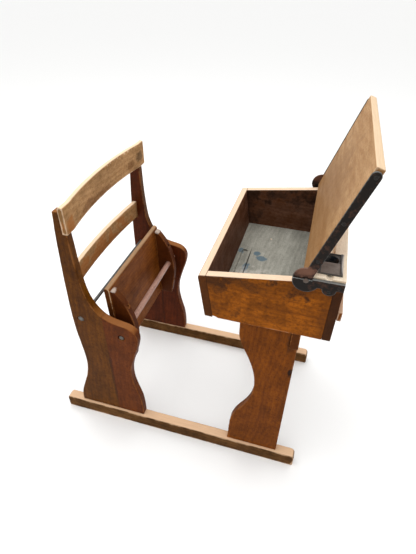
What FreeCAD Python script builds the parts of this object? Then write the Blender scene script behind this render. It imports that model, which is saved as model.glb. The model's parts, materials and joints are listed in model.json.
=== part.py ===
import FreeCAD, Part
import math
import os
import Sketcher

# One-piece school desk and tip-up seat on two floor runners.
# Frame: +X is the way the sitter faces, +Y is the sitter's left, +Z is up.
# Origin: middle of the footprint, on the floor.  All lengths in mm.
# "right" parts are on the -Y side, "left" parts on the +Y side.

V = FreeCAD.Vector
ROT = FreeCAD.Rotation

doc = FreeCAD.newDocument("SchoolDesk")
os.makedirs("parts", exist_ok=True)

# ---------------------------------------------------------------- sizes
SIZES = [
    # floor runners
    ("runner_length", 800.0),
    ("runner_height", 52.0),
    ("runner_width", 31.0),
    ("runner_gauge", 470.0),          # outer face to outer face
    ("origin_shift", 410.0),          # rear end of the runners to the origin, along X
    # standards (the upright boards of seat and desk)
    ("standard_thickness", 24.0),
    ("standard_setback", 7.0),        # outer face in from the runner's outer face
    ("tenon_depth", 22.0),
    ("tenon_thickness", 11.0),
    ("seat_foot_back", 62.0),         # rear end of the runner to the foot
    ("seat_foot_length", 228.0),
    ("seam_reach", 138.0),            # foot's rear edge to the glue line between the two boards
    ("post_top", 806.0),
    ("desk_toe", 60.0),               # desk foot to the front end of the runner
    ("desk_foot_length", 160.0),
    # back rails
    ("rail_thickness", 14.0),
    ("rail_proud", 16.0),             # top rail above the posts
    ("top_rail_height", 74.0),
    ("top_rail_set", 81.0),           # foot's rear edge to the rail's rear face, at its ends
    ("top_rail_bow", 19.0),
    ("top_rail_inset", 1.0),          # each end in from the runners' outer faces
    ("low_rail_height", 60.0),
    ("low_rail_share", 0.3622),       # of the way from the seat pivot to the post top
    ("low_rail_set", 50.0),
    ("low_rail_bow", 12.0),
    ("housing_depth", 9.0),
    # seat and what it turns on
    ("pivot_reach", 190.0),           # foot's rear edge to the pivot
    ("pivot_z", 414.0),
    ("pivot_bolt", 8.0),
    ("running_gap", 0.1),             # radial, bolt in sleeve and pins in arms
    ("sleeve_diameter", 18.0),
    ("end_play", 0.5),
    ("stop_back", 122.0),             # pivot back to the stop rod
    ("stop_rise", 43.0),              # pivot up to the stop rod
    ("stop_rod", 10.0),
    ("counterbore", 22.0),
    ("counterbore_depth", 6.0),
    ("seat_gap", 22.0),               # seat board to standard, each side
    ("seat_front", 137.0),            # pivot to front edge
    ("seat_rear", 133.0),             # pivot to rear edge
    ("seat_rise", 38.0),              # pivot to underside of the seat board
    ("seat_board", 18.0),
    ("cheek_thickness", 23.0),
    ("cheek_inset", 5.0),             # from the ends of the seat board
    ("seat_tip", 92.3),               # seat board from level, degrees, as it rests tipped
    # desk box
    ("overhang_side", 3.0),           # box over the runners' outer faces
    ("overhang_front", 75.6),         # box over the desk foot, at the box's bottom edge
    ("overhang_back", 68.0),
    ("box_depth", 179.0),             # ledge top to the box's bottom
    ("box_board", 20.0),
    ("bottom_board", 12.0),
    ("slope", 8.5),                   # of the lid, in degrees
    ("ledge_top", 762.0),
    ("ledge_board", 19.5),
    ("cross_rail_depth", 22.0),
    ("cross_rail_height", 60.0),
    ("cross_rail_proud", 3.0),
    ("batten_rise", 67.0),            # box bottom to the batten
    ("batten_height", 26.0),
    ("batten_thickness", 10.0),
    ("groove_width", 15.0),
    ("groove_depth", 6.0),
    # lid and hinges
    ("hinge_setback", 81.0),          # hinge axis in from the back of the box
    ("hinge_drop", 10.0),             # hinge axis under the ledge top
    ("lid_thickness", 18.0),
    ("lid_length", 269.0),            # hinge axis to free edge
    ("lid_lean", 18.5),               # past upright, in degrees, as it stands open
    ("lid_gap", 0.4),                 # lid and irons off the box, each side
    ("lid_clear", 0.5),               # closed lid off the box, open lid off the ledge
    ("arm_thickness", 4.0),
    ("arm_width", 20.0),
    ("arm_reach", 253.0),             # hinge axis to centre of the round end
    ("disc_radius", 29.0),
    ("bracket_plate", 4.0),
    ("bar_height", 19.0),
    ("bar_rise", 5.0),                # bar's top over the hinge axis
    ("stop_gap", 0.6),                # open arm off the end of the bar
    ("hinge_pin", 8.0),
    # inkwell
    ("inkwell_setback", 35.0),        # middle of the inkwell in from the back of the box
    ("plate_inset", 12.0),            # plate in from the right side of the box
    ("plate_length", 79.0),
    ("plate_width", 52.0),
    ("plate_sheet", 1.5),
    ("mouth_inset", 56.0),            # middle of the mouth in from the plate's near end
    ("mouth_radius", 17.0),
    ("cover_lap", 3.5),               # cover over the mouth, at each end
    ("cover_sheet", 1.2),
    ("cover_gap", 0.4),
    ("pot_radius", 19.5),
    ("pot_height", 40.0),
    ("pot_gap", 0.5),
]

sheet = doc.addObject("Spreadsheet::Sheet", "Sizes")
S = {}


def set_sizes(pairs):
    """Rows of the sheet: a name, its value and an alias of that name."""
    for name, value in pairs:
        row = len(S) + 1
        sheet.set("A%d" % row, name)
        sheet.set("B%d" % row, str(value))
        sheet.setAlias("B%d" % row, name)
        S[name] = value


set_sizes(SIZES)
LEAN = math.radians(S["lid_lean"])
DESK_BACK = S["runner_length"] - S["desk_toe"]
BOX_BACK = DESK_BACK + S["overhang_back"]
HINGE_X = BOX_BACK - S["hinge_setback"]
HALF_BOX = S["runner_gauge"] / 2 + S["overhang_side"]
STD_OUT_Y = S["runner_gauge"] / 2 - S["standard_setback"]
STD_IN_Y = STD_OUT_Y - S["standard_thickness"]
# sizes and places that follow from the ones above
set_sizes([
    ("desk_foot_back", DESK_BACK),
    ("desk_foot_front", DESK_BACK - S["desk_foot_length"]),
    ("standard_outer", STD_OUT_Y),
    ("standard_inner", STD_IN_Y),
    ("top_rail_low", S["post_top"] + S["rail_proud"] - S["top_rail_height"]),
    ("low_rail_low", S["pivot_z"] + S["low_rail_share"] * (S["post_top"] - S["pivot_z"])),
    ("pivot_x", S["seat_foot_back"] + S["pivot_reach"]),
    ("seat_width", 2 * (STD_IN_Y - S["seat_gap"])),
    ("cheek_outer", STD_IN_Y - S["seat_gap"] - S["cheek_inset"]),
    ("box_width", 2 * HALF_BOX),
    ("box_back", BOX_BACK),
    ("box_bottom", S["ledge_top"] - S["box_depth"]),
    ("ledge_under", S["ledge_top"] - S["ledge_board"]),
    ("hinge_x", HINGE_X),
    ("hinge_z", S["ledge_top"] - S["hinge_drop"]),
    ("bracket_outer", HALF_BOX + 2 * S["lid_gap"] + S["arm_thickness"] + S["bracket_plate"]),
    ("inkwell_x", BOX_BACK - S["inkwell_setback"]),
    ("plate_near", S["plate_inset"] - HALF_BOX),
    ("plate_far", S["plate_inset"] - HALF_BOX + S["plate_length"]),
    ("mouth_y", S["plate_inset"] - HALF_BOX + S["mouth_inset"]),
    ("cover_length", 2 * (S["mouth_radius"] + S["cover_lap"])),
])
doc.recompute()

SHIFT = S["origin_shift"]
FOOT = S["runner_height"]
SEAT_BACK = S["seat_foot_back"]
SEAT_FRONT = SEAT_BACK + S["seat_foot_length"]
SEAM = SEAT_BACK + S["seam_reach"]
STOP_X = S["pivot_x"] - S["stop_back"]
STOP_Z = S["pivot_z"] + S["stop_rise"]
BAR_HIGH = S["hinge_z"] + S["bar_rise"]
BAR_LOW = BAR_HIGH - S["bar_height"]
HALF_LID = S["lid_thickness"] / 2
HALF_ARM = S["arm_width"] / 2
TAN = math.tan(math.radians(S["slope"]))
COS = math.cos(math.radians(S["slope"]))
PARTS = []
SIDES = (("right", -1), ("left", 1))


# ---------------------------------------------------------------- helpers
def body(label, x="", y="", z="", turn=0.0):
    """A body placed by expressions and turned about Y; x counts from the runners' rear end."""
    made = doc.addObject("PartDesign::Body", label)
    made.Label = label
    made.Placement = FreeCAD.Placement(V(0, 0, 0), ROT(V(0, 1, 0), turn))
    made.setExpression("Placement.Base.x", (x + " - " if x else "-") + "Sizes.origin_shift")
    if y:
        made.setExpression("Placement.Base.y", y)
    if z:
        made.setExpression("Placement.Base.z", z)
    PARTS.append(made)
    return made


def sketch(owner, name, role, offset=""):
    """An empty sketch on one of the body's own planes, moved along its normal."""
    made = owner.newObject("Sketcher::SketchObject", name)
    plane = [f for f in owner.Origin.OriginFeatures if f.Role == role][0]
    made.AttachmentSupport = [(plane, "")]
    made.MapMode = "FlatFace"
    if offset:
        made.setExpression("AttachmentOffset.Base.z", offset)
    return made


def trace(made, start, *legs):
    """Closed outline: a leg is an end point, (via, end) for an arc or a list for a curve."""
    here = V(start[0], start[1], 0)
    for leg in legs + (start,):
        if isinstance(leg, list):
            points = [here] + [V(p[0], p[1], 0) for p in leg]
            curve = Part.BSplineCurve()
            curve.interpolate(points)
            made.addGeometry(curve, False)
            here = points[-1]
        elif isinstance(leg[0], tuple):
            via = V(leg[0][0], leg[0][1], 0)
            end = V(leg[1][0], leg[1][1], 0)
            made.addGeometry(Part.Arc(here, via, end), False)
            here = end
        else:
            end = V(leg[0], leg[1], 0)
            if end.distanceToPoint(here) > 1e-6:
                made.addGeometry(Part.LineSegment(here, end), False)
            here = end


def rectangle(made, wide, high, middle=True):
    """A rectangle with driven sides: centred on the upright axis, or cornered on the origin."""
    corners = [V(-9, 0, 0), V(9, 0, 0), V(9, 9, 0), V(-9, 9, 0)]
    for index in range(4):
        made.addGeometry(Part.LineSegment(corners[index], corners[(index + 1) % 4]), False)
    for index in range(4):
        made.addConstraint(Sketcher.Constraint("Coincident", index, 2, (index + 1) % 4, 1))
    made.addConstraint(Sketcher.Constraint("Horizontal", 0))
    made.addConstraint(Sketcher.Constraint("Horizontal", 2))
    made.addConstraint(Sketcher.Constraint("Vertical", 1))
    made.addConstraint(Sketcher.Constraint("Vertical", 3))
    if middle:
        made.addConstraint(Sketcher.Constraint("Symmetric", 0, 1, 0, 2, -1, 1))
    else:
        made.addConstraint(Sketcher.Constraint("Coincident", 0, 1, -1, 1))
    width = made.addConstraint(Sketcher.Constraint("DistanceX", 0, 1, 0, 2, 18))
    height = made.addConstraint(Sketcher.Constraint("DistanceY", 1, 1, 1, 2, 9))
    made.setExpression("Constraints[%d]" % width, wide)
    made.setExpression("Constraints[%d]" % height, high)


def circle(made, diameter, x=0.0, y=0.0):
    """A circle of driven diameter."""
    index = made.addGeometry(Part.Circle(V(x, y, 0), V(0, 0, 1), 3), False)
    size = made.addConstraint(Sketcher.Constraint("Diameter", index, 6))
    made.setExpression("Constraints[%d]" % size, diameter)
    made.addConstraint(Sketcher.Constraint("DistanceX", -1, 1, index, 3, x))
    made.addConstraint(Sketcher.Constraint("DistanceY", -1, 1, index, 3, y))


def pad(owner, made, length, back=False, both=False):
    """Pad a sketch by a driven length."""
    solid = owner.newObject("PartDesign::Pad", made.Name + "_pad")
    solid.Profile = made
    solid.setExpression("Length", length)
    solid.Reversed = back
    solid.Midplane = both
    made.Visibility = False
    doc.recompute()
    return solid


def cut(owner, made, length="", back=False):
    """Pocket a sketch by a driven length, or right through both ways; it must remove wood."""
    before = owner.Shape.Volume
    hole = owner.newObject("PartDesign::Pocket", made.Name + "_cut")
    hole.Profile = made
    if length:
        hole.setExpression("Length", length)
        hole.Reversed = back
    else:
        hole.Type = "ThroughAll"
        hole.Midplane = True
    made.Visibility = False
    doc.recompute()
    if owner.Shape.Volume > before - 1.0:
        raise ValueError("nothing cut by " + made.Name)
    return hole


def soften(owner, radius, wanted):
    """Round the edges for which wanted(edge) holds."""
    tip = owner.Tip
    shape = tip.Shape.copy()
    names = ["Edge%d" % (i + 1) for i, edge in enumerate(shape.Edges) if wanted(edge)]
    if not names:
        raise ValueError("no edge to soften on " + owner.Label)
    made = owner.newObject("PartDesign::Fillet", owner.Label + "_fillet")
    made.Base = (tip, names)
    made.Radius = radius
    doc.recompute()
    return made


def straight(edge, axis):
    """True for a straight edge parallel to an axis (0, 1 or 2)."""
    if len(edge.Vertexes) != 2:
        return False
    step = edge.Vertexes[1].Point - edge.Vertexes[0].Point
    return abs(step.Length - edge.Length) < 1e-6 and abs(abs(step[axis]) - step.Length) < 1e-6


def spot(edge, axis, where):
    """True when the middle of the edge lies at a coordinate."""
    return abs(edge.BoundBox.Center[axis] - where) < 0.01


def spin(owner, name, start, *legs):
    """Turned solid: a profile in the XZ plane (radius, height) about the body's Z axis."""
    profile = sketch(owner, name, "XZ_Plane")
    trace(profile, start, *legs)
    axis = [f for f in owner.Origin.OriginFeatures if f.Role == "Z_Axis"][0]
    made = owner.newObject("PartDesign::Revolution", name + "_turned")
    made.Profile = profile
    made.ReferenceAxis = (axis, [""])
    made.Angle = 360.0
    profile.Visibility = False
    doc.recompute()
    return made


def fasteners(label, solids):
    """A group of identical fasteners kept as separate solids in one part."""
    made = doc.addObject("Part::Feature", label)
    made.Label = label
    made.Shape = Part.makeCompound(solids)
    made.Placement = FreeCAD.Placement(V(-SHIFT, 0, 0), ROT())
    PARTS.append(made)
    return made


def hexagon(across, height, centre, direction):
    """A hexagonal head or nut standing on a point."""
    corners = []
    radius = across / math.sqrt(3)
    for step in range(7):
        angle = math.radians(60 * step + 30)
        corners.append(V(radius * math.cos(angle), 0, radius * math.sin(angle)))
    solid = Part.Face(Part.makePolygon(corners)).extrude(V(0, height * direction, 0))
    solid.translate(centre)
    return solid


def rod(diameter, length, centre, direction):
    """A plain round bar along Y from a point."""
    return Part.makeCylinder(diameter / 2, length, centre, V(0, direction, 0))


def domed(head, shank, length, centre, direction, rise=2.0, slotted=True):
    """A round-headed fastener: its head stands on 'centre', its shank runs the other way."""
    ball = (head * head / 4 + rise * rise) / (2 * rise)
    solid = Part.makeSphere(ball, V(0, 0, rise - ball))
    solid = solid.common(Part.makeBox(head * 2, head * 2, rise * 2, V(-head, -head, 0)))
    solid = solid.fuse(Part.makeCylinder(shank / 2, length, V(0, 0, 0), V(0, 0, -1)))
    if slotted:
        solid = solid.cut(Part.makeBox(head * 2, 1.1, rise, V(-head, -0.55, rise * 0.4)))
    solid = solid.removeSplitter()
    solid.Placement = FreeCAD.Placement(centre, ROT(V(0, 0, 1), direction))
    return solid


# ---------------------------------------------------------------- outlines
def low(share):
    """A height between the runner and the seat pivot."""
    return FOOT + share * (S["pivot_z"] - FOOT)


def high(share):
    """A height between the seat pivot and the post top."""
    return S["pivot_z"] + share * (S["post_top"] - S["pivot_z"])


def desk_level(share):
    """A height between the runner and the desk box."""
    return FOOT + share * (S["box_bottom"] - FOOT)


# steps forward from the foot's rear edge (for the desk, its front edge), with the height there
POST_BACK = [(4, low(0.119)), (18, low(0.243)), (38, low(0.395)), (49, low(0.533)),
             (51, low(0.657)), (47, low(0.809)), (42, low(0.975)), (40.5, high(0.126)),
             (42, high(0.312)), (46, high(0.535)), (52, high(0.782)), (60, high(1.0))]
POST_FRONT = [(85.5, high(0.931)), (87, high(0.807)), (89, high(0.609)), (93, high(0.46)),
              (99, high(0.351)), (107, high(0.287)), (118, high(0.233)),
              (S["seam_reach"], high(0.173))]
LOBE = [(160, high(0.141)), (188, high(0.124)), (214, high(0.109)), (232, high(0.077)),
        (240.5, high(0.027)), (239, low(0.961)), (230, low(0.865)), (218, low(0.762)),
        (208, low(0.657)), (204, low(0.552)), (207, low(0.45)), (215, low(0.348)),
        (223, low(0.257)), (227.5, low(0.16)), (S["seat_foot_length"], FOOT)]
DESK_WAIST = [(3, desk_level(0.09)), (8, desk_level(0.213)), (23, desk_level(0.294)),
              (44, desk_level(0.369)), (60, desk_level(0.452)), (66, desk_level(0.542)),
              (62, desk_level(0.633)), (50, desk_level(0.716)), (32, desk_level(0.795)),
              (18, desk_level(0.859)), (12, desk_level(0.928))]
TENON_IN = 18.0


def moved(outline, x):
    """An outline moved along X."""
    return [(x + point[0], point[1]) for point in outline]


def standard_y(side):
    """The +Y face of a standard; its boards are padded towards -Y."""
    return "Sizes.standard_outer" if side > 0 else "-Sizes.standard_inner"


def tenon(owner, first, last):
    """A stub tenon under a standard board."""
    face = sketch(owner, owner.Label + "_tenon", "XY_Plane", "Sizes.runner_height")
    middle = -S["standard_thickness"] / 2
    half = S["tenon_thickness"] / 2
    trace(
        face,
        (first, middle - half),
        (last, middle - half),
        (last, middle + half),
        (first, middle + half),
    )
    pad(owner, face, "Sizes.tenon_depth", back=True)


# ---------------------------------------------------------------- floor runners
for name, side in SIDES:
    label = "floor_runner_" + name
    runner = body(label, y="Sizes.runner_gauge / 2 * %d" % side)
    section = sketch(runner, label + "_section", "YZ_Plane")
    inside = -side * S["runner_width"]
    trace(section, (0, 0), (inside, 0), (inside, FOOT), (0, FOOT))
    pad(runner, section, "Sizes.runner_length")
    middle = -side * (S["standard_setback"] + S["standard_thickness"] / 2)
    half = S["tenon_thickness"] / 2
    for stem, first, last in (
        ("seat", SEAT_BACK + TENON_IN, SEAT_FRONT - TENON_IN),
        ("desk", S["desk_foot_front"] + TENON_IN, S["desk_foot_back"] - TENON_IN),
    ):
        slot = sketch(runner, label + "_" + stem, "XY_Plane", "Sizes.runner_height")
        trace(
            slot,
            (first, middle - half),
            (last, middle - half),
            (last, middle + half),
            (first, middle + half),
        )
        cut(runner, slot, "Sizes.tenon_depth")
    soften(runner, 14.0, lambda e: straight(e, 1) and e.BoundBox.ZMin > FOOT - 1
           and (spot(e, 0, 0) or spot(e, 0, S["runner_length"])))


# ---------------------------------------------------------------- back rails
def bowed(owner, name, bottom, end_x, bow, half):
    """Plan of a bowed rail: straight flats at the ends, bowed backwards between them."""
    plan = sketch(owner, name, "XY_Plane", bottom)
    thick = S["rail_thickness"]
    middle_x = end_x - bow
    flat = STD_IN_Y - 2.0
    trace(
        plan,
        (end_x, -half),
        (end_x, -flat),
        ((middle_x, 0), (end_x, flat)),
        (end_x, half),
        (end_x + thick, half),
        (end_x + thick, flat),
        ((middle_x + thick, 0), (end_x + thick, -flat)),
        (end_x + thick, -half),
    )
    return plan


TOP_RAIL_X = SEAT_BACK + S["top_rail_set"]
LOW_RAIL_X = SEAT_BACK + S["low_rail_set"]
NOTCH_REACH = 60.0
top_rail = body("back_rail_top")
plan = bowed(top_rail, "top_rail_plan", "Sizes.top_rail_low", TOP_RAIL_X, S["top_rail_bow"],
             S["runner_gauge"] / 2 - S["top_rail_inset"])
pad(top_rail, plan, "Sizes.top_rail_height")
soften(top_rail, 5.0, lambda e: not straight(e, 0)
       and e.BoundBox.ZMin > S["post_top"] + S["rail_proud"] - 0.1)
low_rail = body("back_rail_low")
plan = bowed(low_rail, "low_rail_plan", "Sizes.low_rail_low", LOW_RAIL_X, S["low_rail_bow"],
             STD_IN_Y + S["housing_depth"])
pad(low_rail, plan, "Sizes.low_rail_height")

# ---------------------------------------------------------------- seat standards
for name, side in SIDES:
    label = "seat_standard_post_" + name
    post = body(label, y=standard_y(side))
    face = sketch(post, label + "_face", "XZ_Plane")
    trace(
        face,
        (SEAT_BACK, FOOT),
        moved(POST_BACK, SEAT_BACK),
        (SEAT_BACK + 85, S["post_top"]),
        moved(POST_FRONT, SEAT_BACK),
        (SEAM, FOOT),
    )
    pad(post, face, "Sizes.standard_thickness")
    tenon(post, SEAT_BACK + TENON_IN, SEAM)
    # seat for the top rail: everything in front of the rail's rear face
    notch = sketch(post, label + "_notch", "XY_Plane", "Sizes.top_rail_low")
    trace(
        notch,
        (TOP_RAIL_X, -NOTCH_REACH),
        (TOP_RAIL_X + NOTCH_REACH, -NOTCH_REACH),
        (TOP_RAIL_X + NOTCH_REACH, NOTCH_REACH),
        (TOP_RAIL_X, NOTCH_REACH),
    )
    cut(post, notch, "Sizes.top_rail_height", back=True)
    # housing for the end of the low rail, on the inner face
    housing = sketch(post, label + "_housing", "XY_Plane", "Sizes.low_rail_low")
    mouth = 0.0 if side < 0 else -S["standard_thickness"]
    floor = mouth + side * S["housing_depth"]
    trace(
        housing,
        (LOW_RAIL_X, mouth),
        (LOW_RAIL_X + S["rail_thickness"], mouth),
        (LOW_RAIL_X + S["rail_thickness"], floor),
        (LOW_RAIL_X, floor),
    )
    cut(post, housing, "Sizes.low_rail_height", back=True)
    bore = sketch(post, label + "_bore", "XZ_Plane")
    circle(bore, "Sizes.stop_rod", STOP_X, STOP_Z)
    cut(post, bore)
    sink = sketch(post, label + "_sink", "XZ_Plane",
                  "Sizes.standard_thickness" if side < 0 else "")
    circle(sink, "Sizes.counterbore", STOP_X, STOP_Z)
    cut(post, sink, "Sizes.counterbore_depth", back=side > 0)

    label = "seat_standard_front_" + name
    front = body(label, y=standard_y(side))
    face = sketch(front, label + "_face", "XZ_Plane")
    trace(
        face,
        (SEAM, FOOT),
        (SEAM, POST_FRONT[-1][1]),
        moved(LOBE, SEAT_BACK),
    )
    pad(front, face, "Sizes.standard_thickness")
    tenon(front, SEAM, SEAT_FRONT - TENON_IN)
    bore = sketch(front, label + "_bore", "XZ_Plane")
    circle(bore, "Sizes.pivot_bolt", S["pivot_x"], S["pivot_z"])
    cut(front, bore)
    sink = sketch(front, label + "_sink", "XZ_Plane",
                  "Sizes.standard_thickness" if side < 0 else "")
    circle(sink, "Sizes.counterbore", S["pivot_x"], S["pivot_z"])
    cut(front, sink, "Sizes.counterbore_depth", back=side > 0)

# ---------------------------------------------------------------- stop rod and pivot bolt
SUNK = STD_OUT_Y - S["counterbore_depth"]
NUT_HEIGHT = 5.0
for label, thickness, x, z in (
    ("seat_stop_rod", "stop_rod", STOP_X, STOP_Z),
    ("seat_pivot_bolt", "pivot_bolt", S["pivot_x"], S["pivot_z"]),
):
    shaft = body(label, y="Sizes.standard_outer - 1")
    face = sketch(shaft, label + "_face", "XZ_Plane")
    circle(face, "Sizes." + thickness, x, z)
    pad(shaft, face, "2 * Sizes.standard_outer - 2")
    nuts = []
    for direction in (-1, 1):
        nut = hexagon(S[thickness] * 1.7, NUT_HEIGHT, V(x, direction * SUNK, z), direction)
        hole = rod(S[thickness], NUT_HEIGHT, V(x, direction * SUNK, z), direction)
        nuts.append(nut.cut(hole))
    fasteners(label.replace("_rod", "").replace("_bolt", "") + "_nuts", nuts)

# ---------------------------------------------------------------- desk standards, cross rail
NOTCH_X = S["desk_foot_back"] + 2.0 - S["cross_rail_depth"]
notch_z = S["box_bottom"] - S["cross_rail_height"]
for name, side in SIDES:
    label = "desk_standard_" + name
    board = body(label, y=standard_y(side))
    face = sketch(board, label + "_face", "XZ_Plane")
    trace(
        face,
        (S["desk_foot_front"], FOOT),
        moved(DESK_WAIST, S["desk_foot_front"]),
        (S["desk_foot_front"] + 12, S["box_bottom"]),
        (NOTCH_X, S["box_bottom"]),
        (NOTCH_X, notch_z),
        (S["desk_foot_back"], notch_z),
        (S["desk_foot_back"], FOOT),
    )
    pad(board, face, "Sizes.standard_thickness")
    tenon(board, S["desk_foot_front"] + TENON_IN, S["desk_foot_back"] - TENON_IN)

cross = body("desk_cross_rail", x="Sizes.desk_foot_back + 2 - Sizes.cross_rail_depth",
             z="Sizes.box_bottom - Sizes.cross_rail_height")
face = sketch(cross, "cross_rail_face", "YZ_Plane")
rectangle(face, "2 * Sizes.standard_outer + 2 * Sizes.cross_rail_proud",
          "Sizes.cross_rail_height")
pad(cross, face, "Sizes.cross_rail_depth")

# ---------------------------------------------------------------- desk box
BAR_END = S["box_back"] - 1.0
LOBE_X = S["box_back"] - 31.0
LOBE_R = 15.0
BRACKET_SCREWS = (
    (LOBE_X, BAR_LOW - 5.0),
    (BAR_END - 11.0, (BAR_LOW + BAR_HIGH) / 2),
)
BRACKET_BITE = 16.0
BACK_INNER = S["box_back"] - S["box_board"]
BOX_FRONT = S["desk_foot_front"] - S["overhang_front"]
LOW = S["box_bottom"]
LEDGE_FRONT = (S["hinge_x"] + HALF_LID / math.cos(LEAN) + S["hinge_drop"] * math.tan(LEAN)
               + S["lid_clear"])


def under_lid(x):
    """Height of the top of the box sides under the closed lid."""
    return S["hinge_z"] - (HALF_LID + S["lid_clear"]) / COS - (S["hinge_x"] - x) * TAN


# the front board stands square to the closed lid
RISE = (under_lid(BOX_FRONT) - LOW) * COS * COS
FRONT_LOW = (BOX_FRONT, LOW)
FRONT_TOP = (BOX_FRONT - RISE * TAN, LOW + RISE)
INNER_LOW = (BOX_FRONT + S["box_board"] / COS, LOW)
INNER_TOP_X = FRONT_TOP[0] + S["box_board"] * COS
INNER_TOP = (INNER_TOP_X, under_lid(INNER_TOP_X))

front = body("box_front_board", y="Sizes.box_width / 2")
face = sketch(front, "box_front_face", "XZ_Plane")
BEAD = 9.0
trace(
    face,
    FRONT_LOW,
    INNER_LOW,
    INNER_TOP,
    (FRONT_TOP[0] + BEAD * COS, FRONT_TOP[1] + BEAD * COS * TAN),
    ((FRONT_TOP[0] + 2.6, FRONT_TOP[1] - 1.6),
     (FRONT_TOP[0] + BEAD * TAN, FRONT_TOP[1] - BEAD)),
)
pad(front, face, "Sizes.box_width")

for name, side in SIDES:
    label = "box_side_" + name
    board = body(label, y="Sizes.box_width / 2" if side > 0
                 else "-Sizes.box_width / 2 + Sizes.box_board")
    face = sketch(board, label + "_face", "XZ_Plane")
    trace(
        face,
        INNER_LOW,
        (BACK_INNER, LOW),
        (BACK_INNER, S["ledge_under"]),
        (LEDGE_FRONT, S["ledge_under"]),
        (LEDGE_FRONT, under_lid(S["hinge_x"])),
        (S["hinge_x"], under_lid(S["hinge_x"])),
        INNER_TOP,
    )
    pad(board, face, "Sizes.box_board")
    pilot = sketch(board, label + "_pilot", "XZ_Plane", "Sizes.box_board" if side < 0 else "")
    circle(pilot, "5", *BRACKET_SCREWS[0])
    cut(board, pilot, "%g" % BRACKET_BITE, back=side > 0)

back = body("box_back_board", x="Sizes.box_back - Sizes.box_board", z="Sizes.box_bottom")
face = sketch(back, "box_back_face", "YZ_Plane")
rectangle(face, "Sizes.box_width", "Sizes.ledge_under - Sizes.box_bottom")
pad(back, face, "Sizes.box_board")
# the hole bored down through the ledge for the inkwell bites into this board
bite = sketch(back, "box_back_bite", "XY_Plane", "Sizes.ledge_under - Sizes.box_bottom")
circle(bite, "2 * Sizes.pot_radius + 2 * Sizes.pot_gap", S["inkwell_x"] - BACK_INNER, S["mouth_y"])
cut(back, bite, "Sizes.pot_height - Sizes.ledge_board + Sizes.pot_gap")

bottom = body("box_bottom_board", y="Sizes.box_width / 2 - Sizes.box_board")
face = sketch(bottom, "box_bottom_face", "XZ_Plane")
floor_x = INNER_LOW[0] - S["bottom_board"] * TAN
trace(
    face,
    INNER_LOW,
    (BACK_INNER, LOW),
    (BACK_INNER, LOW + S["bottom_board"]),
    (floor_x, LOW + S["bottom_board"]),
)
pad(bottom, face, "Sizes.box_width - 2 * Sizes.box_board")
# pen trough with round ends
trough = sketch(bottom, "box_pen_trough", "XY_Plane", "Sizes.box_bottom + Sizes.bottom_board")
half = S["groove_width"] / 2
trough_x = BOX_FRONT + 38.6
near = 118.0 + S["box_board"] - S["box_width"]
far = near + 175.0
trace(
    trough,
    (trough_x + half, near),
    (trough_x + half, far),
    ((trough_x, far + half), (trough_x - half, far)),
    (trough_x - half, near),
    ((trough_x, near - half), (trough_x + half, near)),
)
cut(bottom, trough, "Sizes.bottom_board / 2")

ledge = body("box_ledge", y="Sizes.box_width / 2")
face = sketch(ledge, "ledge_face", "XZ_Plane")
GROOVE = S["groove_width"] / 2
trace(
    face,
    (LEDGE_FRONT, S["ledge_under"]),
    (S["box_back"], S["ledge_under"]),
    (S["box_back"], S["ledge_top"]),
    (S["inkwell_x"] + GROOVE, S["ledge_top"]),
    ((S["inkwell_x"], S["ledge_top"] - S["groove_depth"]),
     (S["inkwell_x"] - GROOVE, S["ledge_top"])),
    (LEDGE_FRONT, S["ledge_top"]),
)
pad(ledge, face, "Sizes.box_width")
well = sketch(ledge, "ledge_well", "XY_Plane", "Sizes.ledge_top")
WELL_Y = S["mouth_y"] - HALF_BOX
circle(well, "2 * Sizes.pot_radius + 2 * Sizes.pot_gap", S["inkwell_x"], WELL_Y)
cut(ledge, well)
POT_RIM = 3.0
recess = sketch(ledge, "ledge_recess", "XY_Plane", "Sizes.ledge_top")
circle(recess, "2 * Sizes.pot_radius + 6", S["inkwell_x"], WELL_Y)
cut(ledge, recess, "%g" % POT_RIM)

for stem, where, back_cut in (("left", "", True), ("right", "Sizes.box_width", False)):
    pilot = sketch(ledge, "ledge_pilot_" + stem, "XZ_Plane", where)
    circle(pilot, "5", *BRACKET_SCREWS[1])
    cut(ledge, pilot, "%g" % BRACKET_BITE, back=back_cut)

batten = body("box_back_batten", x="Sizes.box_back", z="Sizes.box_bottom + Sizes.batten_rise")
face = sketch(batten, "batten_face", "YZ_Plane")
rectangle(face, "Sizes.box_width", "Sizes.batten_height")
pad(batten, face, "Sizes.batten_thickness")

# ---------------------------------------------------------------- inkwell
pot = body("inkwell_pot", x="Sizes.inkwell_x", y="Sizes.mouth_y", z="Sizes.ledge_top")
RIM = S["pot_radius"] + 2.6
WALL = 3.0
DEEP = S["pot_height"]
spin(
    pot,
    "pot_profile",
    (0, -DEEP),
    (S["pot_radius"] - 5, -DEEP),
    ((S["pot_radius"] - 1.5, -DEEP + 1.5), (S["pot_radius"], -DEEP + 5)),
    (S["pot_radius"], -POT_RIM),
    (RIM, -POT_RIM),
    (RIM, 0),
    (S["pot_radius"] - WALL, 0),
    (S["pot_radius"] - WALL, -DEEP + WALL + 4),
    ((S["pot_radius"] - WALL - 1.2, -DEEP + WALL + 1.2), (S["pot_radius"] - WALL - 4, -DEEP + WALL)),
    (0, -DEEP + WALL),
)

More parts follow.
